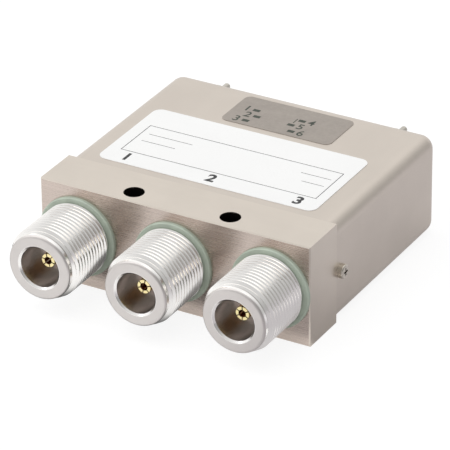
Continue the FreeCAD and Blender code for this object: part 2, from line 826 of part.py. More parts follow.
# ---------------------------------------------------------------- rocker and its bearing
def on_rocker(body):
    """Put a piece in the rocker's frame: origin on the pivot, turned to the rest position."""
    place(body, y=dim.rocker_pivot, z=dim.port_height)
    body.Placement = FreeCAD.Placement(body.Placement.Base,
                                       FreeCAD.Rotation(Vector(0, 0, 1), SIZES["rocker_swing"]))
    body.setExpression(".Placement.Rotation.Angle", dim.rocker_swing.text)
    return body


ADJUSTERS = [(ROD_X * side, 0) for side in SIDES]


def rocker_armature():
    """Soft-iron beam with a hub, balanced between the coil's pole and the failsafe spring."""
    body = on_rocker(new_body("rocker_armature"))
    half_thickness = dim.rocker_thickness / 2
    add_box(body, -dim.rocker_coil_arm, -half_thickness, -dim.rocker_half_height,
            dim.rocker_spring_arm, half_thickness, dim.rocker_half_height)
    dress_edges(body, lambda edge: runs_along(edge, "y"), dim.rocker_corner)
    hub = circle(new_sketch(body, "XY_Plane", -dim.hub_half_length), 0, 0, dim.hub_radius)
    pad(body, hub, dim.hub_half_length * 2)
    bore = circle(new_sketch(body, "XY_Plane", -dim.hub_half_length), 0, 0,
                  dim.axle_radius + dim.axle_clearance)
    pocket(body, bore, dim.hub_half_length * 2)
    cut_discs(body, ADJUSTERS, -half_thickness, half_thickness, dim.adjuster_radius)
    add_discs(body, [(dim.failsafe_arm, 0)], -half_thickness - dim.spring_nub_height,
              -half_thickness, dim.spring_nub_radius)
    return body


def rocker_adjusting_screws():
    """Two grub screws whose round tips push the rods."""
    body = on_rocker(new_body("rocker_adjusting_screws"))
    half_thickness = dim.rocker_thickness / 2
    tip, back = -half_thickness - dim.tip_proud, half_thickness - dim.adjuster_sink
    add_discs(body, ADJUSTERS, tip, back, dim.adjuster_radius)
    slot = new_sketch(body, "XZ_Plane", back - dim.adjuster_slot_depth)
    half_slot = dim.adjuster_slot_half_width
    for x, z in ADJUSTERS:
        rectangle(slot, x - dim.adjuster_radius, z - half_slot, x + dim.adjuster_radius,
                  z + half_slot)
    pocket(body, slot, dim.adjuster_slot_depth)
    dress_edges(body, lambda edge: near(edge.BoundBox.YMax, tip), dim.adjuster_round)
    return body


AXLE_WAIST = dim.axle_radius - dim.axle_groove_depth


def rocker_axle():
    """Ground pin held in the bracket, with a groove near each end."""
    body = place(new_body("rocker_axle"), y=dim.rocker_pivot, z=dim.port_height)
    inner, outer, end = dim.axle_groove_start, dim.axle_groove_end, dim.axle_half_length
    upper = [(dim.axle_radius, inner), (AXLE_WAIST, inner), (AXLE_WAIST, outer),
             (dim.axle_radius, outer), (dim.axle_radius, end - dim.axle_chamfer),
             (dim.axle_radius - dim.axle_chamfer, end)]
    lower = [(radius, -height) for radius, height in reversed(upper)]
    turn(body, [(0, -end)] + lower + upper + [(0, end)], "XZ_Plane")
    return body


def axle_clips():
    """Open washers in the axle's grooves."""
    body = place(new_body("axle_clips"), y=dim.rocker_pivot, z=dim.port_height)
    inner, outer, radius = dim.axle_groove_start, dim.axle_groove_end, dim.axle_clip_radius
    for start in (-outer, inner):
        pad(body, circle(new_sketch(body, "XY_Plane", start), 0, 0, radius), outer - inner)
    for start in (-outer, inner):
        pocket(body, circle(new_sketch(body, "XY_Plane", start), 0, 0, AXLE_WAIST), outer - inner)
        gap = rectangle(new_sketch(body, "XY_Plane", start), -AXLE_WAIST, 0, AXLE_WAIST,
                        radius * 1.1)
        pocket(body, gap, outer - inner)
    return body


def pivot_bracket():
    """U-shaped bracket on the cavity cover; its two arms carry the axle."""
    inner = dim.bracket_half_gap
    outer, half_width = inner + dim.bracket_wall, dim.bracket_half_width
    base_end, back = SPIGOT_END + dim.bracket_wall, dim.rocker_pivot + dim.bracket_overhang
    body = box_body("pivot_bracket", -half_width, SPIGOT_END, dim.port_height - outer,
                    half_width, back, dim.port_height + outer)
    cut_box(body, -half_width, base_end, dim.port_height - inner, half_width, back,
            dim.port_height + inner)
    cut_discs(body, BRACKET_SCREWS, SPIGOT_END, base_end,
              dim.bracket_screw_radius + dim.screw_clearance)
    bore = new_sketch(body, "XY_Plane", dim.port_height - outer)
    circle(bore, 0, dim.rocker_pivot, dim.axle_radius)
    pocket(body, bore, outer * 2)
    return body


# ---------------------------------------------------------------- magnet frame and coil
COIL_PINS = [(-dim.coil_arm + dim.coil_pin_offset * side, dim.port_height) for side in SIDES]
BOARD_FIXINGS = four_places(dim.board_fixing_x, dim.board_fixing_rise)
LEAD_X = [dim.lead_start + dim.lead_pitch * place_in_row for place_in_row in range(3)]
FOOT_SCREW = [(dim.foot_screw_x, dim.port_height - dim.foot_screw_drop)]


def frame_standoffs():
    """Four pillars between the block's spigot and the yoke plate."""
    body = place(new_body("frame_standoffs"))
    add_discs(body, STANDOFFS, SPIGOT_END, dim.yoke_front, dim.standoff_radius)
    add_discs(body, STANDOFFS, SPIGOT_END - dim.standoff_stud_length, SPIGOT_END,
              dim.standoff_screw_radius)
    cut_discs(body, STANDOFFS, dim.yoke_front - dim.standoff_tapping, dim.yoke_front,
              dim.standoff_screw_radius)
    return body


def yoke_plate():
    """Soft-iron plate with a leg that returns the flux to the rocker's hub."""
    body = box_body("yoke_plate", -dim.yoke_half_width, dim.yoke_front, dim.yoke_bottom,
                    dim.yoke_half_width, YOKE_END, dim.yoke_top)
    round_rectangle_edges(body, dim.yoke_corner)
    leg_tip = dim.rocker_pivot + dim.hub_radius + dim.yoke_leg_gap
    leg_half, leg_rise = dim.yoke_leg_half_thickness, dim.yoke_leg_half_height
    add_box(body, -leg_half, leg_tip, dim.port_height - leg_rise,
            leg_half, dim.yoke_front, dim.port_height + leg_rise)
    cut_discs(body, STANDOFFS + [(-dim.coil_arm, dim.port_height)], dim.yoke_front, YOKE_END,
              dim.standoff_screw_radius + dim.screw_clearance)
    cut_discs(body, COIL_PINS, dim.yoke_front, YOKE_END, dim.coil_pin_passage)
    cut_discs(body, BOARD_FIXINGS + FOOT_SCREW, dim.yoke_front, YOKE_END, dim.board_screw_radius)
    cut_box(body, dim.lead_slot_start, dim.yoke_front, dim.port_height - dim.lead_slot_half_height,
            dim.lead_slot_end, YOKE_END, dim.port_height + dim.lead_slot_half_height)
    return body


def on_coil_axis(label):
    """Start a piece centred on the coil's axis."""
    return place(new_body(label), x=-dim.coil_arm, z=dim.port_height)


SHOE_END = dim.pole_face + dim.shoe_thickness


def magnet_core():
    """Soft-iron core with a pole shoe, tapped at the back."""
    body = on_coil_axis("magnet_core")
    shoe, chamfer = dim.shoe_radius, dim.shoe_chamfer
    tapping, tapped = dim.yoke_front - dim.core_tapping, dim.core_screw_radius
    turn(body, [(0, dim.pole_face), (shoe - chamfer, dim.pole_face),
                (shoe, dim.pole_face + chamfer), (shoe, SHOE_END), (dim.core_radius, SHOE_END),
                (dim.core_radius, dim.yoke_front), (tapped, dim.yoke_front), (tapped, tapping),
                (0, tapping)])
    return body


def coil_bobbin():
    """Moulded bobbin with two flanges and holes for its terminal pins."""
    body = on_coil_axis("coil_bobbin")
    tube = dim.core_radius + dim.bobbin_wall
    flange = dim.flange_thickness
    turn(body, [(dim.core_radius, SHOE_END), (dim.bobbin_radius, SHOE_END),
                (dim.bobbin_radius, SHOE_END + flange), (tube, SHOE_END + flange),
                (tube, dim.yoke_front - flange), (dim.bobbin_radius, dim.yoke_front - flange),
                (dim.bobbin_radius, dim.yoke_front), (dim.core_radius, dim.yoke_front)])
    cut_discs(body, [(dim.coil_pin_offset * side, 0) for side in SIDES],
              dim.yoke_front - dim.coil_pin_seat, dim.yoke_front, dim.coil_pin_radius)
    return body


def coil_winding():
    """Enamelled wire wound between the flanges."""
    body = on_coil_axis("coil_winding")
    tube = dim.core_radius + dim.bobbin_wall
    start, end = SHOE_END + dim.flange_thickness, dim.yoke_front - dim.flange_thickness
    turn(body, [(tube, start), (dim.winding_radius, start), (dim.winding_radius, end),
                (tube, end)])
    return body


def coil_pins():
    """Two rigid pins from the bobbin's flange to the driver board."""
    body = place(new_body("coil_pins"))
    add_discs(body, COIL_PINS, dim.yoke_front - dim.coil_pin_seat, BOARD_END + dim.coil_pin_proud,
              dim.coil_pin_radius)
    return body


# ---------------------------------------------------------------- indicator switch
def on_plunger_axis(label):
    """Start a piece centred on the plunger's axis."""
    return place(new_body(label), x=dim.plunger_arm, z=dim.port_height)


CHAMBER = (dim.switch_face + dim.chamber_start, dim.switch_face + dim.chamber_end)
SWITCH_BACK = dim.switch_face + dim.switch_depth
SWITCH_HOLES = [(x, dim.switch_face + dim.switch_hole_setback)
                for x in (dim.switch_hole_near, dim.switch_hole_far)]
BLADE_ROOT, BLADE_TIP = SWITCH_BACK - dim.blade_root, SWITCH_BACK + dim.blade_length


def indicator_switch_case():
    """Snap-action switch body, with the chamber that holds the plunger's collar."""
    body = on_plunger_axis("indicator_switch_case")
    left = dim.switch_start - dim.plunger_arm
    half_height = dim.switch_half_height
    add_box(body, left, dim.switch_face, -half_height, left + dim.switch_length, SWITCH_BACK,
            half_height)
    dress_edges(body, lambda edge: runs_along(edge, "z"), dim.switch_corner)
    mouth, in_front = dim.plunger_radius + dim.plunger_clearance, dim.switch_face - 0.5
    turn(body, [(0, in_front), (mouth, in_front), (mouth, CHAMBER[0]),
                (dim.chamber_radius, CHAMBER[0]), (dim.chamber_radius, CHAMBER[1]),
                (0, CHAMBER[1])], kind="Groove")
    holes = new_sketch(body, "XY_Plane", -half_height)
    for x, y in SWITCH_HOLES:
        circle(holes, x - dim.plunger_arm, y, dim.foot_screw_radius)
    pocket(body, holes, half_height * 2)
    for x in LEAD_X:
        middle = x - dim.plunger_arm
        cut_box(body, middle - dim.blade_half_width, BLADE_ROOT, -dim.blade_half_thickness,
                middle + dim.blade_half_width, SWITCH_BACK, dim.blade_half_thickness)
    return body


def indicator_plunger():
    """Plunger pressed by the rocker at rest."""
    body = on_plunger_axis("indicator_plunger")
    tip = dim.rocker_pivot + dim.rocker_thickness / 2 + dim.plunger_gap
    collar = dim.switch_face + dim.collar_setback
    collar_end = collar + dim.collar_thickness
    stem_end = collar_end + dim.stem_length
    turn(body, [(0, tip), (dim.plunger_tip_radius, tip),
                (dim.plunger_radius, tip + dim.plunger_nose), (dim.plunger_radius, collar),
                (dim.collar_radius, collar), (dim.collar_radius, collar_end),
                (dim.stem_radius, collar_end), (dim.stem_radius, stem_end), (0, stem_end)])
    return body


def indicator_terminals():
    """Three blades at the back of the switch."""
    body = place(new_body("indicator_terminals"))
    blades = new_sketch(body, "XZ_Plane", BLADE_ROOT)
    half_width, half_thickness = dim.blade_half_width, dim.blade_half_thickness
    for x in LEAD_X:
        rectangle(blades, x - half_width, dim.port_height - half_thickness,
                  x + half_width, dim.port_height + half_thickness)
    pad(body, blades, BLADE_TIP - BLADE_ROOT)
    return body


def indicator_leads():
    """Three straight tinned wires from the blades to the driver board."""
    body = place(new_body("indicator_leads"))
    add_discs(body, [(x, dim.port_height) for x in LEAD_X], BLADE_TIP, BOARD_END + dim.lead_proud,
              dim.lead_radius)
    return body


SHELF_TOP = dim.port_height - dim.switch_half_height
SHELF_BOTTOM = SHELF_TOP - dim.shelf_thickness


def indicator_bracket():
    """Bent shelf under the switch, with a foot on the yoke plate."""
    foot_face = dim.yoke_front - dim.shelf_thickness
    body = box_body("indicator_bracket", dim.shelf_start, dim.switch_face + dim.shelf_setback,
                    SHELF_BOTTOM, dim.shelf_end, dim.yoke_front, SHELF_TOP)
    add_box(body, dim.shelf_start, foot_face, dim.port_height - dim.foot_drop,
            dim.shelf_end, dim.yoke_front, SHELF_BOTTOM)
    cut_discs(body, FOOT_SCREW, foot_face, dim.yoke_front,
              dim.foot_screw_radius + dim.screw_clearance)
    holes = new_sketch(body, "XY_Plane", SHELF_BOTTOM)
    for x, y in SWITCH_HOLES:
        circle(holes, x, y, dim.foot_screw_radius)
    pocket(body, holes, dim.shelf_thickness)
    return body


def indicator_screws():
    """Two screws through the switch into its shelf, and one through the shelf's foot."""
    body = cap_screws("indicator_screws", "foot_screw", FOOT_SCREW,
                      dim.yoke_front - dim.shelf_thickness, facing=-1)
    seat = dim.port_height + dim.switch_half_height
    head_end = seat + dim.switch_screw_head_height
    head_radius, half_slot = dim.foot_screw_head_radius, dim.switch_screw_slot_half_width
    for start, end, radius in ((seat, head_end, head_radius),
                               (SHELF_BOTTOM - dim.switch_screw_proud, seat,
                                dim.foot_screw_radius)):
        sketch = new_sketch(body, "XY_Plane", start)
        for x, y in SWITCH_HOLES:
            circle(sketch, x, y, radius)
        pad(body, sketch, end - start)
    slot_depth = dim.switch_screw_head_height * dim.slot_share
    slot = new_sketch(body, "XY_Plane", head_end - slot_depth)
    for x, y in SWITCH_HOLES:
        rectangle(slot, x - head_radius, y - half_slot, x + head_radius, y + half_slot)
    pocket(body, slot, slot_depth)
    return body


# ---------------------------------------------------------------- driver board and terminals
TERMINALS = [(dim.terminal_outer * i, dim.port_height + dim.terminal_rise * k)
             for i in SIDES for k in SIDES]
TERMINALS += [(dim.terminal_inner * i, dim.port_height) for i in SIDES]


def driver_board():
    """Printed board behind the yoke; it carries the driver and the six terminals."""
    body = box_body("driver_board", -dim.board_half_width, dim.board_front, dim.board_bottom,
                    dim.board_half_width, BOARD_END, dim.board_top)
    round_rectangle_edges(body, dim.board_corner)
    leads = [(x, dim.port_height) for x in LEAD_X]
    for places, radius in ((TERMINALS, dim.terminal_shank_radius),
                           (COIL_PINS, dim.coil_pin_radius + dim.board_pin_clearance),
                           (leads, dim.lead_radius + dim.board_pin_clearance),
                           (BOARD_FIXINGS, dim.board_screw_radius + dim.screw_clearance)):
        cut_discs(body, places, dim.board_front, BOARD_END, radius)
    return body


def board_spacers():
    """Four tubes between the yoke plate and the board."""
    body = place(new_body("board_spacers"))
    add_discs(body, BOARD_FIXINGS, YOKE_END, dim.board_front, dim.spacer_radius)
    cut_discs(body, BOARD_FIXINGS, YOKE_END, dim.board_front,
              dim.board_screw_radius + dim.screw_clearance)
    return body


PACKAGE_TOP = BOARD_END + dim.package_height


def package(label, middle, half_length, half_width, standoff):
    """Moulded package on the board, with its top edges bevelled."""
    body = box_body(label, -half_length, BOARD_END + standoff, middle - half_width,
                    half_length, PACKAGE_TOP, middle + half_width)
    dress_edges(body, lambda edge: near(edge.BoundBox.YMin, PACKAGE_TOP), dim.package_edge,
                "Chamfer")
    return body


def board_ic():
    """Logic circuit in a fourteen-lead package."""
    middle = dim.port_height + dim.package_rise
    body = package("board_ic", middle, dim.chip_half_length, dim.chip_half_width,
                   dim.chip_standoff)
    leads = new_sketch(body, "XZ_Plane", BOARD_END)
    half_width, reach = dim.chip_pin_half_width, dim.chip_pin_reach
    for place_in_row in range(-3, 4):
        x = dim.chip_pin_pitch * place_in_row
        rectangle(leads, x - half_width, middle - reach, x + half_width, middle + reach)
    pad(body, leads, dim.pin_thickness)
    return body


def board_transistor():
    """Driver transistor with its heat tab and three leads."""
    middle = dim.port_height - dim.package_rise
    body = package("board_transistor", middle, dim.transistor_half_length,
                   dim.transistor_half_width, dim.transistor_standoff)
    add_box(body, -dim.tab_half_width, BOARD_END, middle, dim.tab_half_width,
            BOARD_END + dim.pin_thickness, middle + dim.tab_reach)
    leads = new_sketch(body, "XZ_Plane", BOARD_END)
    half_width = dim.transistor_pin_half_width
    for place_in_row in (-1, 0, 1):
        x = dim.transistor_pin_pitch * place_in_row
        rectangle(leads, x - half_width, middle - dim.transistor_pin_reach, x + half_width, middle)
    pad(body, leads, dim.pin_thickness)
    return body


def chips(label, kind, centres):
    """Identical small two-ended parts on the board, at each (x, rise over the port height)."""
    length, width, height = sizes_of(kind, "length", "width", "height")
    body = place(new_body(label))
    sketch = new_sketch(body, "XZ_Plane", BOARD_END)
    for x, rise in centres:
        z = dim.port_height + rise
        rectangle(sketch, x - length / 2, z - width / 2, x + length / 2, z + width / 2)
    pad(body, sketch, height)
    return body


DIODES = [(dim.diode_x * side, -dim.diode_drop) for side in SIDES]
RESISTORS = [(dim.resistor_x * side, rise) for side in SIDES
             for rise in (dim.resistor_low, dim.resistor_high)]
RESISTORS += [(dim.end_resistor_x * side, 0) for side in SIDES]


def terminal_posts():
    """Six round solder posts: a shank from the board through the bushing, then the free end."""
    body = place(new_body("terminal_posts"))
    tip = CAN_END + dim.terminal_length
    add_discs(body, TERMINALS, BUSHING_END, tip, dim.terminal_radius)
    add_discs(body, TERMINALS, dim.board_front, BUSHING_END, dim.terminal_shank_radius)
    add_discs(body, TERMINALS, dim.board_front - dim.terminal_collar, dim.board_front,
              dim.terminal_collar_radius)
    dress_edges(body, lambda edge: near(edge.BoundBox.YMin, tip), dim.terminal_round)
    return body


def terminal_bushings():
    """Six insulating bushings in the can's end wall."""
    body = place(new_body("terminal_bushings"))
    inside = CAN_END - dim.can_wall - dim.bushing_inset
    add_discs(body, TERMINALS, inside, BUSHING_END, dim.bushing_radius)
    add_discs(body, TERMINALS, CAN_END, BUSHING_END, dim.bushing_flange_radius)
    cut_discs(body, TERMINALS, inside, BUSHING_END,
              dim.terminal_shank_radius + dim.bushing_clearance)
    return body


# ---------------------------------------------------------------- outside
def cover_can():
    """Deep-drawn can, open towards the block, with rounded edges all round."""
    body = box_body("cover_can", -HALF_WIDTH, SEAM, 0, HALF_WIDTH, CAN_END, dim.block_height)
    inner_x, inner_end = HALF_WIDTH - dim.can_wall, CAN_END - dim.can_wall
    cut_box(body, -inner_x, SEAM, dim.can_wall, inner_x, inner_end,
            dim.block_height - dim.can_wall)
    dress_edges(body, lambda edge: near(edge.BoundBox.YMax, inner_end),
                dim.can_radius - dim.can_wall)
    dress_edges(body, lambda edge: near(edge.BoundBox.YMax, CAN_END), dim.can_radius)
    cut_discs(body, TERMINALS, inner_end - dim.bushing_inset, CAN_END, dim.bushing_radius)
    side_holes = new_sketch(body, "YZ_Plane", -HALF_WIDTH)
    circle(side_holes, SEAM + dim.side_screw_setback, MIDDLE, dim.side_screw_hole_radius)
    pocket(body, side_holes, dim.block_width)
    return body


def cross(sketch, x, y, reach, half):
    """Cross-shaped outline for a screw's recess."""
    steps = [(half, half), (half, reach), (-half, reach), (-half, half),
             (-reach, half), (-reach, -half), (-half, -half),
             (-half, -reach), (half, -reach), (half, -half), (reach, -half), (reach, half)]
    return outline(sketch, [(x + step_x, y + step_y) for step_x, step_y in steps])


def cover_screws():
    """Small cross-recess screws that hold the can to the spigot, one on each side."""
    body = place(new_body("cover_screws"))
    y, z = SEAM + dim.side_screw_setback, MIDDLE
    head, length = dim.side_screw_head_height, dim.side_screw_length
    outer_x = HALF_WIDTH + head
    for start in (HALF_WIDTH, -outer_x):
        sketch = circle(new_sketch(body, "YZ_Plane", start), y, z, dim.side_screw_head_radius)
        pad(body, sketch, head)
    for start in (HALF_WIDTH - length, -HALF_WIDTH):
        sketch = circle(new_sketch(body, "YZ_Plane", start), y, z, dim.side_screw_radius)
        pad(body, sketch, length)
    dress_edges(body, lambda edge: near(abs(edge.BoundBox.Center.x), outer_x),
                dim.side_screw_head_round)
    for start in (outer_x - dim.recess_depth, -outer_x):
        recess = cross(new_sketch(body, "YZ_Plane", start), y, z, dim.recess_reach,
                       dim.recess_half_width)
        pocket(body, recess, dim.recess_depth)
    return body


def film(name):
    """Printed film on the can's top face."""
    left, front, right, back, corner = sizes_of(name, "left", "front", "right", "back", "corner")
    body = place(new_body(name))
    sketch = rectangle(new_sketch(body, "XY_Plane", dim.block_height), left, front, right, back)
    pad(body, sketch, dim.label_thickness)
    dress_edges(body, lambda edge: runs_along(edge, "z"), corner)
    return body


# ---------------------------------------------------------------- the assembly
def jacks():
    """The three jacks with their gaskets, contacts and beads."""
    pieces = []
    for number, x in PORTS.items():
        pieces += [connector_shell(number, x), base_gasket(number, x), centre_contact(number, x)]
    return pieces + [beads("front_beads", FRONT_BEAD), beads("rear_beads", REAR_BEAD)]


def switched_contact(prefix, side, shift):
    """One reed with its push rod, clip and return spring; shift is how far back it rests."""
    seat = SPIGOT_END - dim.spring_seat_depth
    clip_face = REED_FRONT + shift + CLIP_START
    return [reed(f"{prefix}_reed", side, shift), push_rod(f"{prefix}_push_rod", side, shift),
            rod_clip(f"{prefix}_rod_clip", side, shift),
            coil_spring(f"{prefix}_rod_spring", "rod_spring", ROD_X * side, seat, clip_face)]


def rocker():
    """The rocker, its bearing and its failsafe spring."""
    seat = SPIGOT_END - dim.spring_seat_depth
    return [rocker_armature(), rocker_adjusting_screws(), rocker_axle(), axle_clips(),
            pivot_bracket(),
            cap_screws("pivot_bracket_screws", "bracket_screw", BRACKET_SCREWS,
                       SPIGOT_END + dim.bracket_wall),
            coil_spring("failsafe_spring", "failsafe_spring", dim.failsafe_arm, seat,
                        dim.failsafe_spring_end)]


def magnet():
    """The frame behind the block and the coil that it carries."""
    return [frame_standoffs(), yoke_plate(),
            cap_screws("standoff_screws", "standoff_screw", STANDOFFS, YOKE_END),
            magnet_core(),
            cap_screws("core_screw", "core_screw", [(-dim.coil_arm, dim.port_height)], YOKE_END),
            coil_bobbin(), coil_winding(), coil_pins()]


def indicator():
    """The snap-action switch that reports the rocker's position."""
    return [indicator_switch_case(), indicator_plunger(), indicator_terminals(),
            indicator_leads(), indicator_bracket(), indicator_screws()]


def driver():
    """The board behind the yoke, what it carries, and the terminals."""
    return [driver_board(), board_spacers(),
            cap_screws("board_screws", "board_screw", BOARD_FIXINGS, BOARD_END),
            board_ic(), board_transistor(), chips("board_diodes", "diode", DIODES),
            chips("board_resistors", "resistor", RESISTORS), terminal_posts(),
            terminal_bushings()]


def build_pieces():
    """Make every piece and return them in order."""
    return [rf_housing(), cavity_cover(),
            cap_screws("cavity_cover_screws", "plate_screw", PLATE_SCREWS, PLATE_SCREW_SEAT),
            *jacks(),
            *switched_contact("nc", -1, Dim.of(0)), *switched_contact("no", 1, dim.stroke),
            *rocker(), *magnet(), *indicator(), *driver(),
            cover_can(), cover_screws(), film("port_label"), film("terminal_label")]


def check(pieces):
    """Stop if any object failed or any piece has no sound shape."""
    doc.recompute()
    for item in doc.Objects:
        if "Invalid" in item.State or "Error" in item.State:
            owner = item.getParentGeoFeatureGroup()
            raise RuntimeError(f"{item.Label} of {owner and owner.Label} failed: {item.State}")
    for body in pieces:
        if body.Shape.isNull() or not body.Shape.isValid() or not body.Shape.Solids:
            raise RuntimeError(f"{body.Label} has no sound shape")


def export(pieces):
    """Write each piece to its own file."""
    os.makedirs("parts", exist_ok=True)
    for body in pieces:
        body.Shape.exportStep(f"parts/{body.Label}.step")
    print(len(pieces), "pieces written")


all_pieces = build_pieces()
check(all_pieces)
export(all_pieces)
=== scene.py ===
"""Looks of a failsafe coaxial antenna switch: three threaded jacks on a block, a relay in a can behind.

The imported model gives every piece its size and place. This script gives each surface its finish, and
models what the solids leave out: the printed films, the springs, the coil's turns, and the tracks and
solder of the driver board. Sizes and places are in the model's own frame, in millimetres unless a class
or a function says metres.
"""
from __future__ import annotations

import logging
import math
from dataclasses import dataclass
from enum import Enum
from functools import lru_cache

import bpy
from mathutils import Matrix, Vector


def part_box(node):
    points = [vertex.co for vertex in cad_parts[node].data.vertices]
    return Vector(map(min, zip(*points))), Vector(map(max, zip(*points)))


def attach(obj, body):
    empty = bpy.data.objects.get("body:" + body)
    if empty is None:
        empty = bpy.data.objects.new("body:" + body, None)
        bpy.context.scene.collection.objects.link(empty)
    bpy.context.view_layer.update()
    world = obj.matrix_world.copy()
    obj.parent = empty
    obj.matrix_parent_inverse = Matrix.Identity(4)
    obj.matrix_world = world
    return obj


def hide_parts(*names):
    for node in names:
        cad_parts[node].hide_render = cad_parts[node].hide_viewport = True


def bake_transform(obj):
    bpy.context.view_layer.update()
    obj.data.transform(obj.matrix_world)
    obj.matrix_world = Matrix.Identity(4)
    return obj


log = logging.getLogger("antenna_switch")

MM = 0.001
FULL_TURN = 2 * math.pi
Rgb = tuple[float, float, float]
Socket = bpy.types.NodeSocket
Sockets = bpy.types.bpy_prop_collection


def colour(red: int, green: int, blue: int) -> Rgb:
    """Turn a colour as a screen shows it, 0 to 255, into the linear values that shaders use.

    Args:
        red: red part, 0 to 255.
        green: green part, 0 to 255.
        blue: blue part, 0 to 255.

    Returns:
        The three linear values, 0 to 1.
    """
    def linear(part: float) -> float:
        """One part, 0 to 1, with the screen's curve taken off."""
        return part / 12.92 if part <= 0.04045 else ((part + 0.055) / 1.055) ** 2.4

    return linear(red / 255), linear(green / 255), linear(blue / 255)


def scaled(tone: Rgb, factor: float) -> Rgb:
    """A colour made lighter or darker, never over 1."""
    return tuple(min(part * factor, 1.0) for part in tone)


# ------------------------------------------------------------------------------------------ node graphs
class Graph:
    """A node tree that is being drawn: it adds nodes and joins their sockets."""

    def __init__(self, tree: bpy.types.NodeTree) -> None:
        """Start on an empty or existing tree."""
        self.tree = tree

    def add(self, kind: str, inputs: dict | None = None, **settings: object) -> bpy.types.Node:
        """Add one node.

        Args:
            kind: the node's Blender type.
            inputs: values or sockets, by the name or number of the input that takes each.
            settings: the node's own properties.

        Returns:
            The new node.
        """
        node = self.tree.nodes.new(kind)
        for name, value in settings.items():
            setattr(node, name, value)
        for key, value in (inputs or {}).items():
            if isinstance(value, Socket):
                self.tree.links.new(value, node.inputs[key])
            else:
                node.inputs[key].default_value = value
        return node

    def join(self, source: Socket, target: Socket) -> None:
        """Link an output to an input."""
        self.tree.links.new(source, target)

    def math(self, operation: str, *values: float | Socket) -> Socket:
        """A Math node's result."""
        return self.add("ShaderNodeMath", dict(enumerate(values)), operation=operation).outputs[0]

    def vector(self, operation: str, *values: Socket | Rgb) -> bpy.types.Node:
        """A Vector Math node."""
        return self.add("ShaderNodeVectorMath", dict(enumerate(values)), operation=operation)

    def blend(self, factor: float | Socket, low: float | Socket, high: float | Socket) -> Socket:
        """A number between two others."""
        return self.add("ShaderNodeMix", {0: factor, 2: low, 3: high}, data_type="FLOAT").outputs[0]

    def tint(self, factor: float | Socket, low: Rgb | Socket, high: Rgb | Socket) -> Socket:
        """A colour between two others."""
        low, high = (tone if isinstance(tone, Socket) else (*tone, 1.0) for tone in (low, high))
        return self.add("ShaderNodeMix", {0: factor, 6: low, 7: high}, data_type="RGBA").outputs[2]

    def ramp(self, value: Socket, start: float, end: float, low: float = 0.0, high: float = 1.0) -> Socket:
        """A number eased from low to high while the value goes from start to end."""
        inputs = {"Value": value, "From Min": start, "From Max": end, "To Min": low, "To Max": high}
        return self.add("ShaderNodeMapRange", inputs, interpolation_type="SMOOTHSTEP").outputs[0]

    def within(self, value: Socket, low: float, high: float, soft: float) -> Socket:
        """A mask with soft edges.

        Args:
            value: what is measured.
            low: where the mask begins.
            high: where it ends.
            soft: how far each edge reaches to either side.

        Returns:
            1 while the value is between low and high, 0 elsewhere.
        """
        above = self.ramp(value, low - soft, low + soft)
        below = self.ramp(value, high - soft, high + soft, 1.0, 0.0)
        return self.math("MULTIPLY", above, below)

    def noise(self, vector: Socket, scale: float | Socket, detail: float = 2.0, **shape: float) -> Socket:
        """Noise, 0 to 1, with its own shape where one is given by the inputs' names."""
        inputs = {"Vector": vector, "Scale": scale, "Detail": detail, **shape}
        return self.add("ShaderNodeTexNoise", inputs).outputs[0]

    def parts(self, vector: Socket) -> list[Socket]:
        """The X, Y and Z of a vector."""
        return list(self.add("ShaderNodeSeparateXYZ", {0: vector}).outputs)

    def place(self) -> Socket:
        """The point on the surface, in metres in the model's frame."""
        return self.add("ShaderNodeTexCoord").outputs["Object"]

    def normal(self) -> Socket:
        """The surface's outward direction."""
        return self.add("ShaderNodeNewGeometry").outputs["Normal"]

    def group(self, tree: bpy.types.NodeTree, **inputs: object) -> Sockets:
        """Place a shared group and return its outputs."""
        return self.add("ShaderNodeGroup", inputs, node_tree=tree).outputs


class SocketKind(Enum):
    """What a group's socket carries."""

    NUMBER = "NodeSocketFloat"
    VECTOR = "NodeSocketVector"


def new_group(name: str, inputs: dict[str, SocketKind],
              outputs: tuple[str, ...]) -> tuple[Graph, Sockets, Sockets]:
    """Make an empty shader group with named inputs and number outputs.

    Args:
        name: the group's name.
        inputs: each input's name and kind.
        outputs: each output's name.

    Returns:
        The group's graph, its inputs inside the group, and its outputs inside the group.
    """
    tree = bpy.data.node_groups.new(name, "ShaderNodeTree")
    for label, kind in inputs.items():
        tree.interface.new_socket(label, in_out="INPUT", socket_type=kind.value)
    for label in outputs:
        tree.interface.new_socket(label, in_out="OUTPUT", socket_type=SocketKind.NUMBER.value)
    graph = Graph(tree)
    return graph, graph.add("NodeGroupInput").outputs, graph.add("NodeGroupOutput").inputs


@lru_cache
def grain_group() -> bpy.types.NodeTree:
    """Marks of a tool or a mould: noise stretched by the number of cells per metre along each axis.

    Returns:
        The group's node tree.
    """
    graph, given, result = new_group(
        "tool_grain", {"Vector": SocketKind.VECTOR, "Cells": SocketKind.VECTOR}, ("Height",))
    stretched = graph.vector("MULTIPLY", given["Vector"], given["Cells"]).outputs[0]
    coarse = graph.noise(stretched, scale=0.35, detail=1.0)
    fine = graph.noise(stretched, scale=1.0)
    graph.join(graph.blend(factor=0.6, low=coarse, high=fine), result["Height"])
    return graph.tree


@lru_cache
def cloud_group() -> bpy.types.NodeTree:
    """Slow change over a surface, as of plating thickness or handling, with a cell of the given size.

    Returns:
        The group's node tree.
    """
    graph, given, result = new_group(
        "slow_cloud", {"Vector": SocketKind.VECTOR, "Cell": SocketKind.NUMBER}, ("Tone",))
    scale = graph.math("DIVIDE", 1.0, given["Cell"])
    cloud = graph.noise(given["Vector"], scale, detail=3.0, Roughness=0.55, Distortion=0.4)
    graph.join(graph.ramp(cloud, start=0.25, end=0.75), result["Tone"])
    return graph.tree


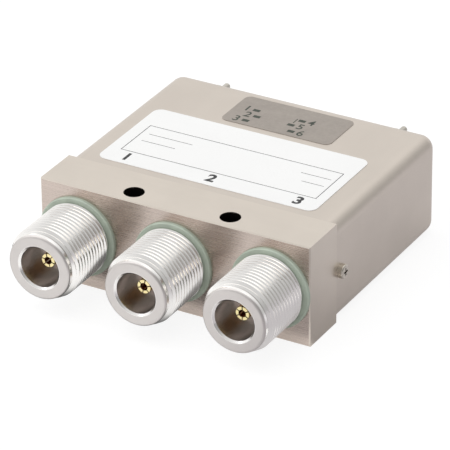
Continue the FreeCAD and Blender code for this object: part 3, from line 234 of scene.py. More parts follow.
@lru_cache
def edge_rub_highlight_group() -> bpy.types.NodeTree:
    """Where handling has rubbed an edge, which also paints a highlight on it: high on convex and concave
    edges of the given width, broken up.

    Returns:
        The group's node tree.
    """
    graph, given, result = new_group(
        "edge_rub", {"Vector": SocketKind.VECTOR, "Width": SocketKind.NUMBER}, ("Mask",))
    rounded = graph.add("ShaderNodeBevel", {"Radius": given["Width"]}, samples=4).outputs[0]
    flatness = graph.vector("DOT_PRODUCT", rounded, graph.normal()).outputs["Value"]
    breakup = graph.noise(given["Vector"], scale=900.0)
    reach = graph.ramp(flatness, start=0.97, end=0.80)
    broken = graph.ramp(breakup, start=0.3, end=0.62)
    graph.join(graph.math("MULTIPLY", reach, broken), result["Mask"])
    return graph.tree


@lru_cache
def dust_group() -> bpy.types.NodeTree:
    """Fine dust and wiped haze on faces that look up.

    Returns:
        The group's node tree.
    """
    graph, given, result = new_group("settled_dust", {"Vector": SocketKind.VECTOR}, ("Mask",))
    up = graph.ramp(graph.parts(graph.normal())[2], start=0.5, end=1.0)
    specks = graph.ramp(graph.noise(given["Vector"], scale=2600.0), start=0.52, end=0.74)
    haze = graph.ramp(graph.noise(given["Vector"], scale=55.0), start=0.35, end=0.7)
    graph.join(graph.math("MULTIPLY", up, graph.math("MULTIPLY", specks, haze)), result["Mask"])
    return graph.tree


@dataclass(frozen=True)
class Row:
    """Where the ports and mounting holes stand, in millimetres in the model's frame."""

    pitch: float = 22.5
    height: float = 11.4
    hole_x: float = 11.2


@lru_cache
def port_group() -> bpy.types.NodeTree:
    """Distance from the nearest port's axis, the way around it, and distance from the nearest hole's.

    Returns:
        The group's node tree.
    """
    row = Row()
    graph, given, result = new_group(
        "around_port", {"Vector": SocketKind.VECTOR}, ("Radius", "Angle", "Hole"))
    x, y, z = graph.parts(given["Vector"])
    half = row.pitch / 2 * MM
    within_pitch = graph.math("WRAP", graph.math("ADD", x, half), row.pitch * MM, 0.0)
    across = graph.math("SUBTRACT", within_pitch, half)
    up = graph.math("SUBTRACT", z, row.height * MM)
    around = graph.add("ShaderNodeCombineXYZ", {0: across, 2: up}).outputs[0]
    graph.join(graph.vector("LENGTH", around).outputs["Value"], result["Radius"])
    graph.join(graph.math("ARCTAN2", up, across), result["Angle"])
    beside = graph.math("SUBTRACT", graph.math("ABSOLUTE", x), row.hole_x * MM)
    flat = graph.add("ShaderNodeCombineXYZ", {0: beside, 1: y}).outputs[0]
    graph.join(graph.vector("LENGTH", flat).outputs["Value"], result["Hole"])
    return graph.tree


# --------------------------------------------------------------------------------------------- finishes
class Marks(Enum):
    """Which way a surface's marks run: noise cells per metre along X, Y and Z."""

    BRUSHED_ACROSS = (45.0, 6500.0, 6500.0)
    DRAWN_BACK = (3800.0, 160.0, 3800.0)
    SATIN = (4200.0, 4200.0, 4200.0)
    TURNED = (6500.0, 6500.0, 90.0)
    MOULDED = (1500.0, 1500.0, 1500.0)
    WOVEN = (2400.0, 500.0, 2400.0)


class Measure(Enum):
    """What a zone of a finish is measured by."""

    PORT_RADIUS = "distance from the port's axis"
    HOLE_RADIUS = "distance from the mounting hole's axis"
    ACROSS = "distance from the middle plane"
    BACKWARD = "place along Y"
    UPWARD = "place along Z"
    FACES_FRONT = "how far the surface looks forward"


@dataclass(frozen=True)
class Limit:
    """The stretch of a measure that a zone covers: millimetres for places, 0 to 1 for directions."""

    measure: Measure
    low: float
    high: float


@dataclass(frozen=True)
class Zone:
    """A part of a finish that differs from the rest, where all its limits hold.

    Attributes:
        limits: where it lies.
        tone: its colour.
        roughness: how wide it spreads a reflection, 0 to 1.
        soft: how far its edges blur, in its limits' own units.
        grain: how far the marks change its colour, as a share.
    """

    limits: tuple[Limit, ...]
    tone: Rgb
    roughness: float
    soft: float = 0.04
    grain: float = 0.0


NOISE_MIDDLE = 0.5                              # what a noise's values lie around
TURN_REACH = 0.002                              # metres that one radian around a port counts for
RUB_HIGHLIGHT_WIDTH = 0.12                                # how far from its edges a surface is rubbed and given a painted highlight
RELIEF_STRENGTH = 0.6
COAT_ROUGHNESS = 0.08
DUST_TONE = colour(206, 203, 198)
DUST_ROUGHNESS = 0.9


@dataclass(frozen=True)
class Finish:
    """One finish of the switch, from its colour down to the marks of the tool that made it.

    Attributes:
        name: the material's name.
        slot: the material slot that it stands for; not used.
        tone: its colour.
        roughness: how wide it spreads a reflection, 0 to 1.
        metallic: 1 on metal, 0 elsewhere.
        marks: which way its marks run.
        relief: how deep the marks are, in millimetres.
        streak: how far the marks change the roughness.
        grain: how far the marks change the colour, as a share.
        mottle: how far the colour drifts, as a share.
        cell: the size of that drift, in millimetres.
        rub: how far edges are rubbed to the bright tone, which also paints a highlight on them.
        bright: the colour of a rubbed edge and of its painted highlight.
        dust: how much dust lies on it.
        coat: weight of a clear gloss layer.
        zones: the parts that differ.
    """

    name: str
    slot: str
    tone: Rgb
    roughness: float
    metallic: float = 1.0
    marks: Marks = Marks.SATIN
    relief: float = 0.0012
    streak: float = 0.10
    grain: float = 0.0
    mottle: float = 0.06
    cell: float = 9.0
    rub: float = 0.35
    bright: Rgb = colour(236, 233, 226)
    dust: float = 0.0
    coat: float = 0.0
    zones: tuple[Zone, ...] = ()

    def measured(self, graph: Graph, point: Socket) -> dict[Measure, Socket]:
        """Take every measure of the surface.

        Args:
            graph: the material's graph.
            point: the point on the surface, in metres.

        Returns:
            Each measure's value at that point, places in millimetres.
        """
        port = graph.group(port_group(), Vector=point)
        x, y, z = graph.parts(point)
        backward = graph.parts(graph.normal())[1]
        metres = {Measure.PORT_RADIUS: port["Radius"], Measure.HOLE_RADIUS: port["Hole"],
                  Measure.ACROSS: graph.math("ABSOLUTE", x), Measure.BACKWARD: y, Measure.UPWARD: z}
        places = {measure: graph.math("MULTIPLY", value, 1 / MM) for measure, value in metres.items()}
        return {**places, Measure.FACES_FRONT: graph.math("MULTIPLY", backward, -1.0)}

    def mask(self, graph: Graph, values: dict[Measure, Socket], zone: Zone) -> Socket:
        """Find where a zone lies.

        Args:
            graph: the material's graph.
            values: each measure's value.
            zone: the zone.

        Returns:
            1 inside the zone, 0 outside.
        """
        masks = [graph.within(values[limit.measure], limit.low, limit.high, zone.soft)
                 for limit in zone.limits]
        whole = masks[0]
        for part in masks[1:]:
            whole = graph.math("MULTIPLY", whole, part)
        return whole

    def pattern(self, graph: Graph, point: Socket) -> Socket:
        """Draw the tool's marks, which run around the port's axis on a turned surface.

        Args:
            graph: the material's graph.
            point: the point on the surface, in metres.

        Returns:
            The height of the marks, 0 to 1.
        """
        if self.marks is Marks.TURNED:
            port = graph.group(port_group(), Vector=point)
            turned = graph.math("MULTIPLY", port["Angle"], TURN_REACH)
            point = graph.add("ShaderNodeCombineXYZ", {
                0: port["Radius"], 1: graph.parts(point)[1], 2: turned}).outputs[0]
        return graph.group(grain_group(), Vector=point, Cells=self.marks.value)["Height"]

    def shaded(self, graph: Graph, cloud: Socket, height: Socket, tone: Rgb, grain: float) -> Socket:
        """Let a colour drift with the cloud and, where grain asks for it, with the tool's marks.

        Args:
            graph: the material's graph.
            cloud: the slow change over the surface, 0 to 1.
            height: the height of the tool's marks, 0 to 1.
            tone: the colour.
            grain: how far the marks change it, as a share.

        Returns:
            The colour at each point.
        """
        drifting = graph.tint(cloud, scaled(tone, 1 - self.mottle), scaled(tone, 1 + self.mottle))
        if not grain:
            return drifting
        marked = graph.ramp(height, start=0.3, end=0.7, low=1 - grain, high=1 + grain)
        marks = graph.add("ShaderNodeCombineColor", {0: marked, 1: marked, 2: marked}).outputs[0]
        return graph.add("ShaderNodeMix", {0: 1.0, 6: drifting, 7: marks}, data_type="RGBA",
                         blend_type="MULTIPLY").outputs[2]

    def build(self) -> bpy.types.Material:
        """Draw the finish's node tree.

        Returns:
            The material.
        """
        material = bpy.data.materials.new(self.name)
        material.use_nodes = True
        graph = Graph(material.node_tree)
        shader = material.node_tree.nodes["Principled BSDF"]
        point = graph.place()
        height = self.pattern(graph, point)
        cloud = graph.group(cloud_group(), Vector=point, Cell=self.cell * MM)["Tone"]
        centred = graph.math("SUBTRACT", height, NOISE_MIDDLE)
        tone = self.shaded(graph, cloud, height, self.tone, self.grain)
        rough = graph.math("MULTIPLY_ADD", centred, 2 * self.streak, self.roughness)
        if self.zones:
            values = self.measured(graph, point)
            for zone in self.zones:
                mask = self.mask(graph, values, zone)
                zone_tone = self.shaded(graph, cloud, height, zone.tone, zone.grain)
                zone_rough = graph.math("MULTIPLY_ADD", centred, self.streak, zone.roughness)
                tone = graph.tint(mask, tone, zone_tone)
                rough = graph.blend(mask, rough, zone_rough)
        # rubbed edges, lightened to the bright tone, which also stands as a painted highlight on them
        if self.rub:
            edge = graph.group(edge_rub_highlight_group(), Vector=point, Width=RUB_HIGHLIGHT_WIDTH * MM)["Mask"]
            tone = graph.tint(graph.math("MULTIPLY", edge, self.rub), tone, self.bright)
        if self.dust:
            dust = graph.group(dust_group(), Vector=point)["Mask"]
            settled = graph.math("MULTIPLY", dust, self.dust)
            tone = graph.tint(settled, tone, DUST_TONE)
            rough = graph.blend(settled, rough, DUST_ROUGHNESS)
        relief = graph.add("ShaderNodeBump", {
            "Strength": RELIEF_STRENGTH, "Distance": self.relief * MM, "Height": height})
        graph.join(tone, shader.inputs["Base Color"])
        graph.join(rough, shader.inputs["Roughness"])
        graph.join(relief.outputs[0], shader.inputs["Normal"])
        shader.inputs["Metallic"].default_value = self.metallic
        shader.inputs["Coat Weight"].default_value = self.coat
        shader.inputs["Coat Roughness"].default_value = COAT_ROUGHNESS
        return material

    def dress(self, piece: bpy.types.Object) -> None:
        """Put the finish on a piece.

        Args:
            piece: a new piece or a model node.
        """
        material = shared_material(self)
        if not piece.material_slots:
            piece.data.materials.append(material)
        for held in piece.material_slots:
            held.material = material


@lru_cache
def shared_material(finish: Finish) -> bpy.types.Material:
    """A finish's material, drawn once and shared by every piece that has it."""
    return finish.build()


def plastic(name: str, slot: str, tone: Rgb, roughness: float, **own: object) -> Finish:
    """A finish that isn't metal, moulded unless its own marks are given."""
    return Finish(name, slot, tone, roughness, **{"metallic": 0.0, "marks": Marks.MOULDED, **own})


def tinned(*limits: Limit) -> Zone:
    """The bare leads of an electronic part."""
    return Zone(limits, colour(206, 204, 198), roughness=0.3, soft=0.01)


FRONT_FACE = -3.7                               # the block's front face, along Y
LIP_END = -19.15                                # the jacks' front ends, along Y
FAR = 30.0                                      # past the end of anything that a zone covers

BLOCK_NICKEL = Finish(
    "block_nickel", "nickel_block", colour(213, 204, 193), roughness=0.34, marks=Marks.BRUSHED_ACROSS,
    relief=0.004, grain=0.012, mottle=0.03, cell=14.0, rub=0.15, dust=0.08,
    zones=(
        # the front face
        Zone((Limit(Measure.FACES_FRONT, 0.8, 2.0),), colour(207, 193, 184),
             roughness=0.27, soft=0.1, grain=0.07),
        # the walls of the mounting holes, painted near black as the shade inside them
        Zone((Limit(Measure.HOLE_RADIUS, -1.0, 2.215), Limit(Measure.UPWARD, -1.0, 22.45)),
             colour(34, 31, 29), roughness=0.7, soft=0.01)))
CAN_NICKEL = Finish(
    "can_nickel", "nickel_can", colour(208, 199, 189), roughness=0.40, marks=Marks.DRAWN_BACK,
    relief=0.001, streak=0.07, grain=0.01, mottle=0.03, cell=18.0, rub=0.15, dust=0.10)
JACK_PLATE = Finish(
    "jack_plate", "bright_plate", colour(251, 249, 246), roughness=0.17, marks=Marks.TURNED,
    relief=0.0015, mottle=0.03, cell=6.0, rub=0.2,
    zones=(
        # the thread's roots, painted darker as the shade in its grooves
        Zone((Limit(Measure.PORT_RADIUS, 6.9, 7.42), Limit(Measure.BACKWARD, -16.6, -4.4)),
             colour(243, 240, 236), roughness=0.24, soft=0.10),
        # a ring in the groove behind the lip, painted dark as the shade in that groove
        Zone((Limit(Measure.PORT_RADIUS, 6.7, 7.2),
              Limit(Measure.BACKWARD, LIP_END + 1.25, LIP_END + 1.65)),
             colour(170, 164, 158), roughness=0.40),
        # the lip's front
        Zone((Limit(Measure.BACKWARD, -FAR, LIP_END + 0.5), Limit(Measure.PORT_RADIUS, 4.9, 9.0)),
             colour(216, 211, 208), roughness=0.42, soft=0.1),
        # the bore, painted darker as the shade inside it
        Zone((Limit(Measure.PORT_RADIUS, -1.0, 4.48), Limit(Measure.BACKWARD, LIP_END + 0.48, FAR)),
             colour(228, 222, 218), roughness=0.30)))
CONTACT_GOLD = Finish(
    "contact_gold", "gold_plate", colour(214, 160, 92), roughness=0.24, marks=Marks.TURNED,
    relief=0.0008, streak=0.06, mottle=0.05, cell=2.0, rub=0.8, bright=colour(255, 238, 188),
    zones=(
        # the front end, painted paler as a highlight where the light reaches it
        Zone((Limit(Measure.BACKWARD, -FAR, LIP_END + 4.0),), colour(255, 236, 178),
             roughness=0.18, soft=0.1),
        # the socket, painted dark as the shade inside it
        Zone((Limit(Measure.PORT_RADIUS, -1.0, 0.85),), colour(140, 68, 30), roughness=0.5, soft=0.01)))
REED_GOLD = Finish(
    "reed_gold", "gold_plate", colour(226, 186, 104), roughness=0.28, marks=Marks.BRUSHED_ACROSS,
    relief=0.0008, mottle=0.08, cell=5.0, bright=colour(250, 222, 160))
GASKET_GREEN = plastic(
    "gasket_green", "gasket_green", colour(184, 195, 180), roughness=0.62, relief=0.012, mottle=0.10,
    cell=4.0, rub=0.45, bright=colour(210, 221, 211))
BEAD_WHITE = plastic(
    "bead_white", "bead_white", colour(232, 230, 224), roughness=0.46, marks=Marks.TURNED, relief=0.002,
    mottle=0.04, rub=0.1)
MACHINED = Finish(
    "machined_aluminium", "machined_aluminium", colour(208, 206, 202), roughness=0.34,
    marks=Marks.BRUSHED_ACROSS, relief=0.002, streak=0.14)
ROD_AMBER = plastic(
    "rod_amber", "rod_clear", colour(226, 206, 150), roughness=0.22, marks=Marks.DRAWN_BACK,
    relief=0.0008, rub=0.15, coat=0.4)
SPRING_STEEL = Finish(
    "spring_steel", "spring_steel", colour(196, 197, 198), roughness=0.24, relief=0.0008, mottle=0.08,
    cell=2.0, rub=0.1)
SMALL_STEEL = Finish(
    "small_steel", "small_steel", colour(192, 190, 184), roughness=0.30, mottle=0.10, cell=3.0)
SCREW_NICKEL = Finish(
    "screw_nickel", "screw_nickel", colour(206, 199, 188), roughness=0.28, relief=0.001, mottle=0.08,
    cell=2.0, rub=0.6)
SOFT_IRON = Finish(
    "soft_iron", "soft_iron", colour(150, 150, 152), roughness=0.44, relief=0.003, mottle=0.10, rub=0.4)
BRASS = Finish(
    "plain_brass", "brass_plain", colour(214, 186, 118), roughness=0.30, marks=Marks.DRAWN_BACK,
    mottle=0.08, cell=5.0, bright=colour(244, 224, 170))
NYLON = plastic(
    "bobbin_nylon", "bobbin_nylon", colour(44, 44, 46), roughness=0.5, relief=0.006, mottle=0.15,
    rub=0.2, bright=colour(92, 92, 94))
COPPER_WIRE = Finish(
    "copper_wire", "copper_wire", colour(196, 112, 66), roughness=0.26, relief=0.0006, mottle=0.16,
    cell=1.6, rub=0.2, bright=colour(232, 160, 110), coat=0.5)
SWITCH_BLACK = plastic(
    "switch_black", "switch_black", colour(38, 38, 40), roughness=0.42, relief=0.005, mottle=0.14,
    rub=0.25, bright=colour(86, 86, 88))
PLUNGER_RED = plastic(
    "plunger_red", "plunger_red", colour(176, 34, 28), roughness=0.34, relief=0.003, mottle=0.08,
    rub=0.2, bright=colour(214, 84, 74))
TINNED = Finish(
    "tinned", "tinned", colour(194, 189, 180), roughness=0.30, relief=0.003, mottle=0.10, cell=1.2,
    streak=0.16)
BOARD_GREEN = plastic(
    "board_green", "board_green", colour(26, 92, 56), roughness=0.34, marks=Marks.WOVEN, relief=0.004,
    mottle=0.14, cell=4.0, rub=0.3, bright=colour(150, 150, 96), coat=0.35)
TRACK_GREEN = plastic(
    "track_green", "board_green", colour(52, 132, 78), roughness=0.34, marks=Marks.WOVEN, relief=0.004,
    mottle=0.12, cell=4.0, rub=0.3, bright=colour(170, 170, 110), coat=0.35)
CHIP_BLACK = plastic(
    "chip_black", "chip_black", colour(34, 34, 36), roughness=0.5, relief=0.004, mottle=0.14, rub=0.25,
    bright=colour(80, 80, 82),
    zones=(tinned(Limit(Measure.UPWARD, 17.97, 19.1)), tinned(Limit(Measure.UPWARD, 13.0, 14.03)),
           tinned(Limit(Measure.UPWARD, 3.3, 5.03)),
           tinned(Limit(Measure.UPWARD, 8.57, 10.4), Limit(Measure.ACROSS, -1.0, 3.4)),
           tinned(Limit(Measure.ACROSS, 6.9, 7.02), Limit(Measure.BACKWARD, 47.3, 48.7)),
           tinned(Limit(Measure.ACROSS, 11.38, 11.5), Limit(Measure.BACKWARD, 47.3, 48.7))))
CHIP_CERAMIC = plastic(
    "chip_ceramic", "chip_ceramic", colour(62, 58, 54), roughness=0.36, relief=0.002, mottle=0.1,
    rub=0.2, coat=0.3,
    zones=tuple(tinned(Limit(Measure.ACROSS, low, low + 0.45)) for low in (6.95, 9.8, 20.95, 23.8)))
LABEL_WHITE = plastic(
    "label_white", "label_white", colour(247, 247, 246), roughness=0.34, relief=0.0015, streak=0.05,
    mottle=0.012, cell=20.0, rub=0.0, dust=0.10, coat=0.15)
LABEL_GREY = plastic(
    "label_grey", "label_grey", colour(155, 146, 137), roughness=0.42, relief=0.002, streak=0.05,
    grain=0.05, mottle=0.05, cell=3.0, rub=0.0, dust=0.10, coat=0.1)
INK_BLACK = plastic(
    "label_ink", "label_white", colour(30, 30, 32), roughness=0.45, relief=0.001, mottle=0.2, cell=1.5,
    rub=0.0)
INK_GREEN = plastic(
    "terminal_ink", "label_grey", colour(52, 60, 48), roughness=0.5, relief=0.001, mottle=0.2, cell=1.5,
    rub=0.0)


# ---------------------------------------------------------------------------------------------- drawing
WELD = 0.0005                                   # millimetres within which points become one
MOSTLY = 0.9                                    # share of a whole that picks a face or an edge by its way


def edit() -> None:
    """Edit the active piece, with all of it selected."""
    bpy.ops.object.mode_set(mode="EDIT")
    bpy.ops.mesh.select_all(action="SELECT")


def leave() -> None:
    """Leave edit mode, which writes the edit to the mesh."""
    bpy.ops.object.mode_set(mode="OBJECT")


def start(name: str) -> bpy.types.Object:
    """Name the object that an operator has just added, and edit it.

    Args:
        name: the piece's name.

    Returns:
        The piece, with all of it selected.
    """
    piece = bpy.context.object
    piece.name = piece.data.name = name
    edit()
    return piece


def extrude(x: float, y: float, z: float) -> None:
    """Extrude what is selected along a way in millimetres."""
    bpy.ops.mesh.extrude_region_move(TRANSFORM_OT_translate={"value": (x * MM, y * MM, z * MM)})


def clear_selection() -> None:
    """Leave edit mode and deselect everything."""
    if bpy.context.mode != "OBJECT":
        leave()
    bpy.ops.object.select_all(action="DESELECT")


def settle(piece: bpy.types.Object, smooth_below: float = 40.0) -> bpy.types.Object:
    """Apply a piece's place to its mesh, weld it, turn its faces outwards and shade it.

    Args:
        piece: the finished piece.
        smooth_below: edges bent by less than this many degrees look round.

    Returns:
        The same piece.
    """
    clear_selection()
    bpy.context.view_layer.objects.active = piece
    piece.select_set(True)
    bpy.ops.object.transform_apply(location=True, rotation=True, scale=True)
    edit()
    bpy.ops.mesh.remove_doubles(threshold=WELD * MM)
    bpy.ops.mesh.normals_make_consistent(inside=False)
    leave()
    bpy.ops.object.shade_smooth_by_angle(angle=math.radians(smooth_below))
    piece.select_set(False)
    return piece


def merged(name: str, pieces: list[bpy.types.Object]) -> bpy.types.Object:
    """Join pieces into one.

    Args:
        name: the name of the whole.
        pieces: what is joined, the one that takes in the others first.

    Returns:
        The whole.
    """
    clear_selection()
    for piece in pieces:
        piece.select_set(True)
    bpy.context.view_layer.objects.active = pieces[0]
    bpy.ops.object.join()
    pieces[0].name = pieces[0].data.name = name
    return pieces[0]


def finish_piece(piece: bpy.types.Object, finish: Finish, body: str = "switch_body") -> None:
    """Dress a new piece and let it ride.

    Args:
        piece: the new piece.
        finish: its finish.
        body: the body that it rides on.
    """
    finish.dress(piece)
    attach(piece, body)
    log.info("%s: %d faces", piece.name, len(piece.data.polygons))


# ----------------------------------------------------------------------------------------------- studio
@dataclass(frozen=True)
class Lamp:
    """A square lamp that looks at the object. Angles in degrees, sizes in metres, 1 for a white face."""

    name: str
    azimuth: float
    elevation: float
    away: float
    width: float
    radiance: float


@dataclass
class Studio:
    """White table, soft lamps and the camera. Sizes in metres, angles in degrees, 1 for white.

    Attributes:
        lit_paint: the table's paint where it lights the object.
        shown_paint: its paint as the eye sees it, which carries the shadow.
        shown_glow: its own light as the eye sees it.
        mirrored_paint: its paint as the object mirrors it.
        mirrored_glow: its own light as the object mirrors it.
        dim_span: where the mirrored table gets darker, along X.
        dim_depth: where that part of it turns from dim_front to dim_back, along Y.
        foot_glow: the lighter strip before the block's foot, as its ends along Y and their softness.
        jack_shadow: the darker strip under the jacks, given in the same way.
        shadow_end: where that strip fades out, along X.
        sky: light from the side that the sky is darkest on, and soft_sky on the lightest side.
        soft_from: azimuth and elevation of the lightest side.
        mirror_rise: elevation of the darkest place before the object, as the object mirrors it.
        front_turn: where the mirrored room turns darker towards that place, as the angle's cosine.
        front_mirror: how bright it is there.
        right_turn: where the mirrored room turns darker to the right, given in the same way.
        right_mirror: how bright it is there.
    """

    azimuth: float = 29.675
    elevation: float = 28.635
    roll: float = -0.594
    distance: float = 0.77175
    lens: float = 303.14
    shift_right: float = 0.010292
    shift_up: float = 0.017359
    nearest: float = 0.01
    block_front: float = FRONT_FACE * MM
    table_gap: float = 0.00005
    table_width: float = 6.0
    lit_paint: float = 0.7
    shown_paint: float = 0.2
    shown_glow: float = 0.86
    mirrored_paint: float = 0.7
    mirrored_glow: float = 0.31
    dim_span: tuple[float, float] = (0.0, 0.045)
    dim_depth: tuple[float, float] = (0.0, 0.03)
    foot_glow: tuple[float, float, float] = (-0.0074, -0.0025, 0.0020)
    foot_gain: float = 1.4
    jack_shadow: tuple[float, float, float] = (-0.0195, -0.0092, 0.0022)
    shadow_end: tuple[float, float] = (0.008, 0.022)
    shadow_gain: float = 0.2
    dim_front: Rgb = (0.56, 0.54, 0.56)
    dim_back: Rgb = (0.80, 0.785, 0.81)
    sky: float = 0.34
    soft_sky: float = 1.3
    soft_from: tuple[float, float] = (-45.0, 42.0)
    mirror_rise: float = 8.0
    front_turn: tuple[float, float] = (-0.25, 0.75)
    front_mirror: float = 0.66
    right_turn: tuple[float, float] = (0.1, 0.75)
    right_mirror: float = 0.5
    lamps: tuple[Lamp, ...] = (
        Lamp("key_lamp", azimuth=-84.0, elevation=50.0, away=0.62, width=0.45, radiance=0.7),
        Lamp("top_lamp", azimuth=150.0, elevation=78.0, away=0.60, width=0.60, radiance=0.45))

    def direction(self, azimuth: float, elevation: float) -> Vector:
        """The way from the object to a point seen at that azimuth and elevation."""
        turn, rise = math.radians(azimuth), math.radians(elevation)
        return Vector((math.sin(turn) * math.cos(rise), -math.cos(turn) * math.cos(rise), math.sin(rise)))

    def build(self) -> None:
        """Make the camera, the sky, the lamps and the table."""
        self.add_camera()
        self.add_sky()
        for lamp in self.lamps:
            self.add_lamp(lamp)
        self.add_table()
        bpy.context.scene.view_settings.view_transform = "Standard"

    def add_camera(self) -> None:
        """Place the camera by its angle, roll and distance."""
        back = self.direction(self.azimuth, self.elevation)
        right = Vector((0, 0, 1)).cross(back).normalized()
        up = back.cross(right)
        tilt = math.radians(self.roll)
        turned_right = right * math.cos(tilt) + up * math.sin(tilt)
        turned_up = up * math.cos(tilt) - right * math.sin(tilt)
        place = back * self.distance + turned_right * self.shift_right + turned_up * self.shift_up
        place.y += self.block_front
        data = bpy.data.cameras.new("main_camera")
        data.lens = self.lens
        data.clip_start = self.nearest
        camera = bpy.data.objects.new("main_camera", data)
        bpy.context.scene.collection.objects.link(camera)
        axes = Matrix((turned_right, turned_up, back)).transposed()
        camera.matrix_world = Matrix.Translation(place) @ axes.to_4x4()
        bpy.context.scene.camera = camera

    def seen_by_eye(self, graph: Graph) -> Socket:
        """Tell the rays that show the background from those that light the object.

        Args:
            graph: the graph that asks.

        Returns:
            1 for the camera's rays, a reflection's and a refraction's, 0 for the others.
        """
        path = graph.add("ShaderNodeLightPath").outputs
        mirrored = graph.math("MAXIMUM", path["Is Glossy Ray"], path["Is Transmission Ray"])
        return graph.math("MAXIMUM", path["Is Camera Ray"], mirrored)

    def add_sky(self) -> None:
        """Make a sky that is white to the eye, dimmer in mirrors, and lights softly from the front left."""
        world = bpy.data.worlds.new("white_room")
        bpy.context.scene.world = world
        world.use_nodes = True
        graph = Graph(world.node_tree)
        path = graph.add("ShaderNodeLightPath").outputs
        way = graph.add("ShaderNodeTexCoord").outputs["Generated"]
        view = self.direction(self.azimuth, self.mirror_rise)
        towards = graph.vector("DOT_PRODUCT", way, tuple(view)).outputs["Value"]
        rightward = graph.parts(way)[0]
        mirrored = graph.math("MULTIPLY", graph.ramp(towards, *self.front_turn, 1.0, self.front_mirror),
                              graph.ramp(rightward, *self.right_turn, 1.0, self.right_mirror))
        aside = graph.vector("DOT_PRODUCT", way, tuple(self.direction(*self.soft_from))).outputs["Value"]
        lit = graph.ramp(aside, 0.0, 1.0, self.sky, self.soft_sky)
        eye = graph.blend(path["Is Glossy Ray"], 1.0, mirrored)
        strength = graph.blend(self.seen_by_eye(graph), lit, eye)
        background = world.node_tree.nodes["Background"]
        background.inputs["Color"].default_value = (1.0, 1.0, 1.0, 1.0)
        graph.join(strength, background.inputs["Strength"])

    def add_lamp(self, lamp: Lamp) -> None:
        """Hang a lamp.

        Args:
            lamp: where it hangs, how wide it is and how bright.
        """
        place = self.direction(lamp.azimuth, lamp.elevation) * lamp.away
        data = bpy.data.lights.new(lamp.name, "AREA")
        data.shape = "SQUARE"
        data.size = lamp.width
        data.energy = lamp.radiance * math.pi * lamp.width * lamp.width
        light = bpy.data.objects.new(lamp.name, data)
        bpy.context.scene.collection.objects.link(light)
        light.matrix_world = Matrix.Translation(place) @ place.to_track_quat("Z", "Y").to_matrix().to_4x4()

    def add_table(self) -> None:
        """Lay a white table that keeps a faint shadow and can't be seen from below."""
        clear_selection()
        bpy.ops.mesh.primitive_plane_add(size=self.table_width, location=(0, 0, -self.table_gap))
        table = bpy.context.object
        table.name = "white_table"
        table.data.materials.append(self.table_material())

    def table_material(self) -> bpy.types.Material:
        """Draw the table, which looks different to the eye, to the object's mirror and as a light.

        Returns:
            The table's material.
        """
        material = bpy.data.materials.new("white_table")
        material.use_nodes = True
        graph = Graph(material.node_tree)
        material.node_tree.nodes.remove(material.node_tree.nodes["Principled BSDF"])
        path = graph.add("ShaderNodeLightPath").outputs
        seen = graph.math("MAXIMUM", path["Is Camera Ray"], path["Is Transmission Ray"])
        mirrored = path["Is Glossy Ray"]
        x, y, _ = graph.parts(graph.place())
        aside, behind = graph.ramp(x, *self.dim_span), graph.ramp(y, *self.dim_depth)
        by_foot, under_jacks = graph.within(y, *self.foot_glow), graph.within(y, *self.jack_shadow)
        under_jacks = graph.math("MULTIPLY", under_jacks, graph.ramp(x, *self.shadow_end, 1.0, 0.0))

        def toned(level: float) -> Socket:
            """A grey that is darker to the right of the object, most of all in front.

            Args:
                level: the grey of the open table.

            Returns:
                The grey at each point of the table.
            """
            dim = graph.tint(behind, scaled(self.dim_front, level), scaled(self.dim_back, level))
            open_table = graph.tint(under_jacks, (level,) * 3, (level * self.shadow_gain,) * 3)
            return graph.tint(by_foot, graph.tint(aside, open_table, dim), (level * self.foot_gain,) * 3)

        hidden_paint = graph.tint(mirrored, (self.lit_paint,) * 3, toned(self.mirrored_paint))
        paint = graph.tint(seen, hidden_paint, (self.shown_paint,) * 3)
        matt = graph.add("ShaderNodeBsdfDiffuse", {"Color": paint}).outputs[0]
        hidden_glow = graph.tint(mirrored, (0.0, 0.0, 0.0), toned(self.mirrored_glow))
        glow = graph.add("ShaderNodeEmission", {
            "Color": graph.tint(seen, hidden_glow, (self.shown_glow,) * 3), "Strength": 1.0}).outputs[0]
        white = graph.add("ShaderNodeAddShader", {0: matt, 1: glow}).outputs[0]
        clear = graph.add("ShaderNodeBsdfTransparent").outputs[0]
        below = graph.add("ShaderNodeNewGeometry").outputs["Backfacing"]
        both = graph.add("ShaderNodeMixShader", {0: below, 1: white, 2: clear}).outputs[0]
        graph.join(both, material.node_tree.nodes["Material Output"].inputs["Surface"])
        return material


# ---------------------------------------------------------------------------------------- labels' print
Area = tuple[float, float, float, float]        # left, front, right and back


@dataclass
class StandIn:
    """A piece made in the place of a model node's own shape.

    Attributes:
        label: the model node that it stands for.
    """

    label: str

    def corners(self) -> tuple[Vector, Vector]:
        """The node's lowest and highest corner, in millimetres."""
        low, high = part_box(self.label)
        return Vector(low) / MM, Vector(high) / MM

    def middle(self) -> Vector:
        """The middle between those corners."""
        low, high = self.corners()
        return (low + high) / 2


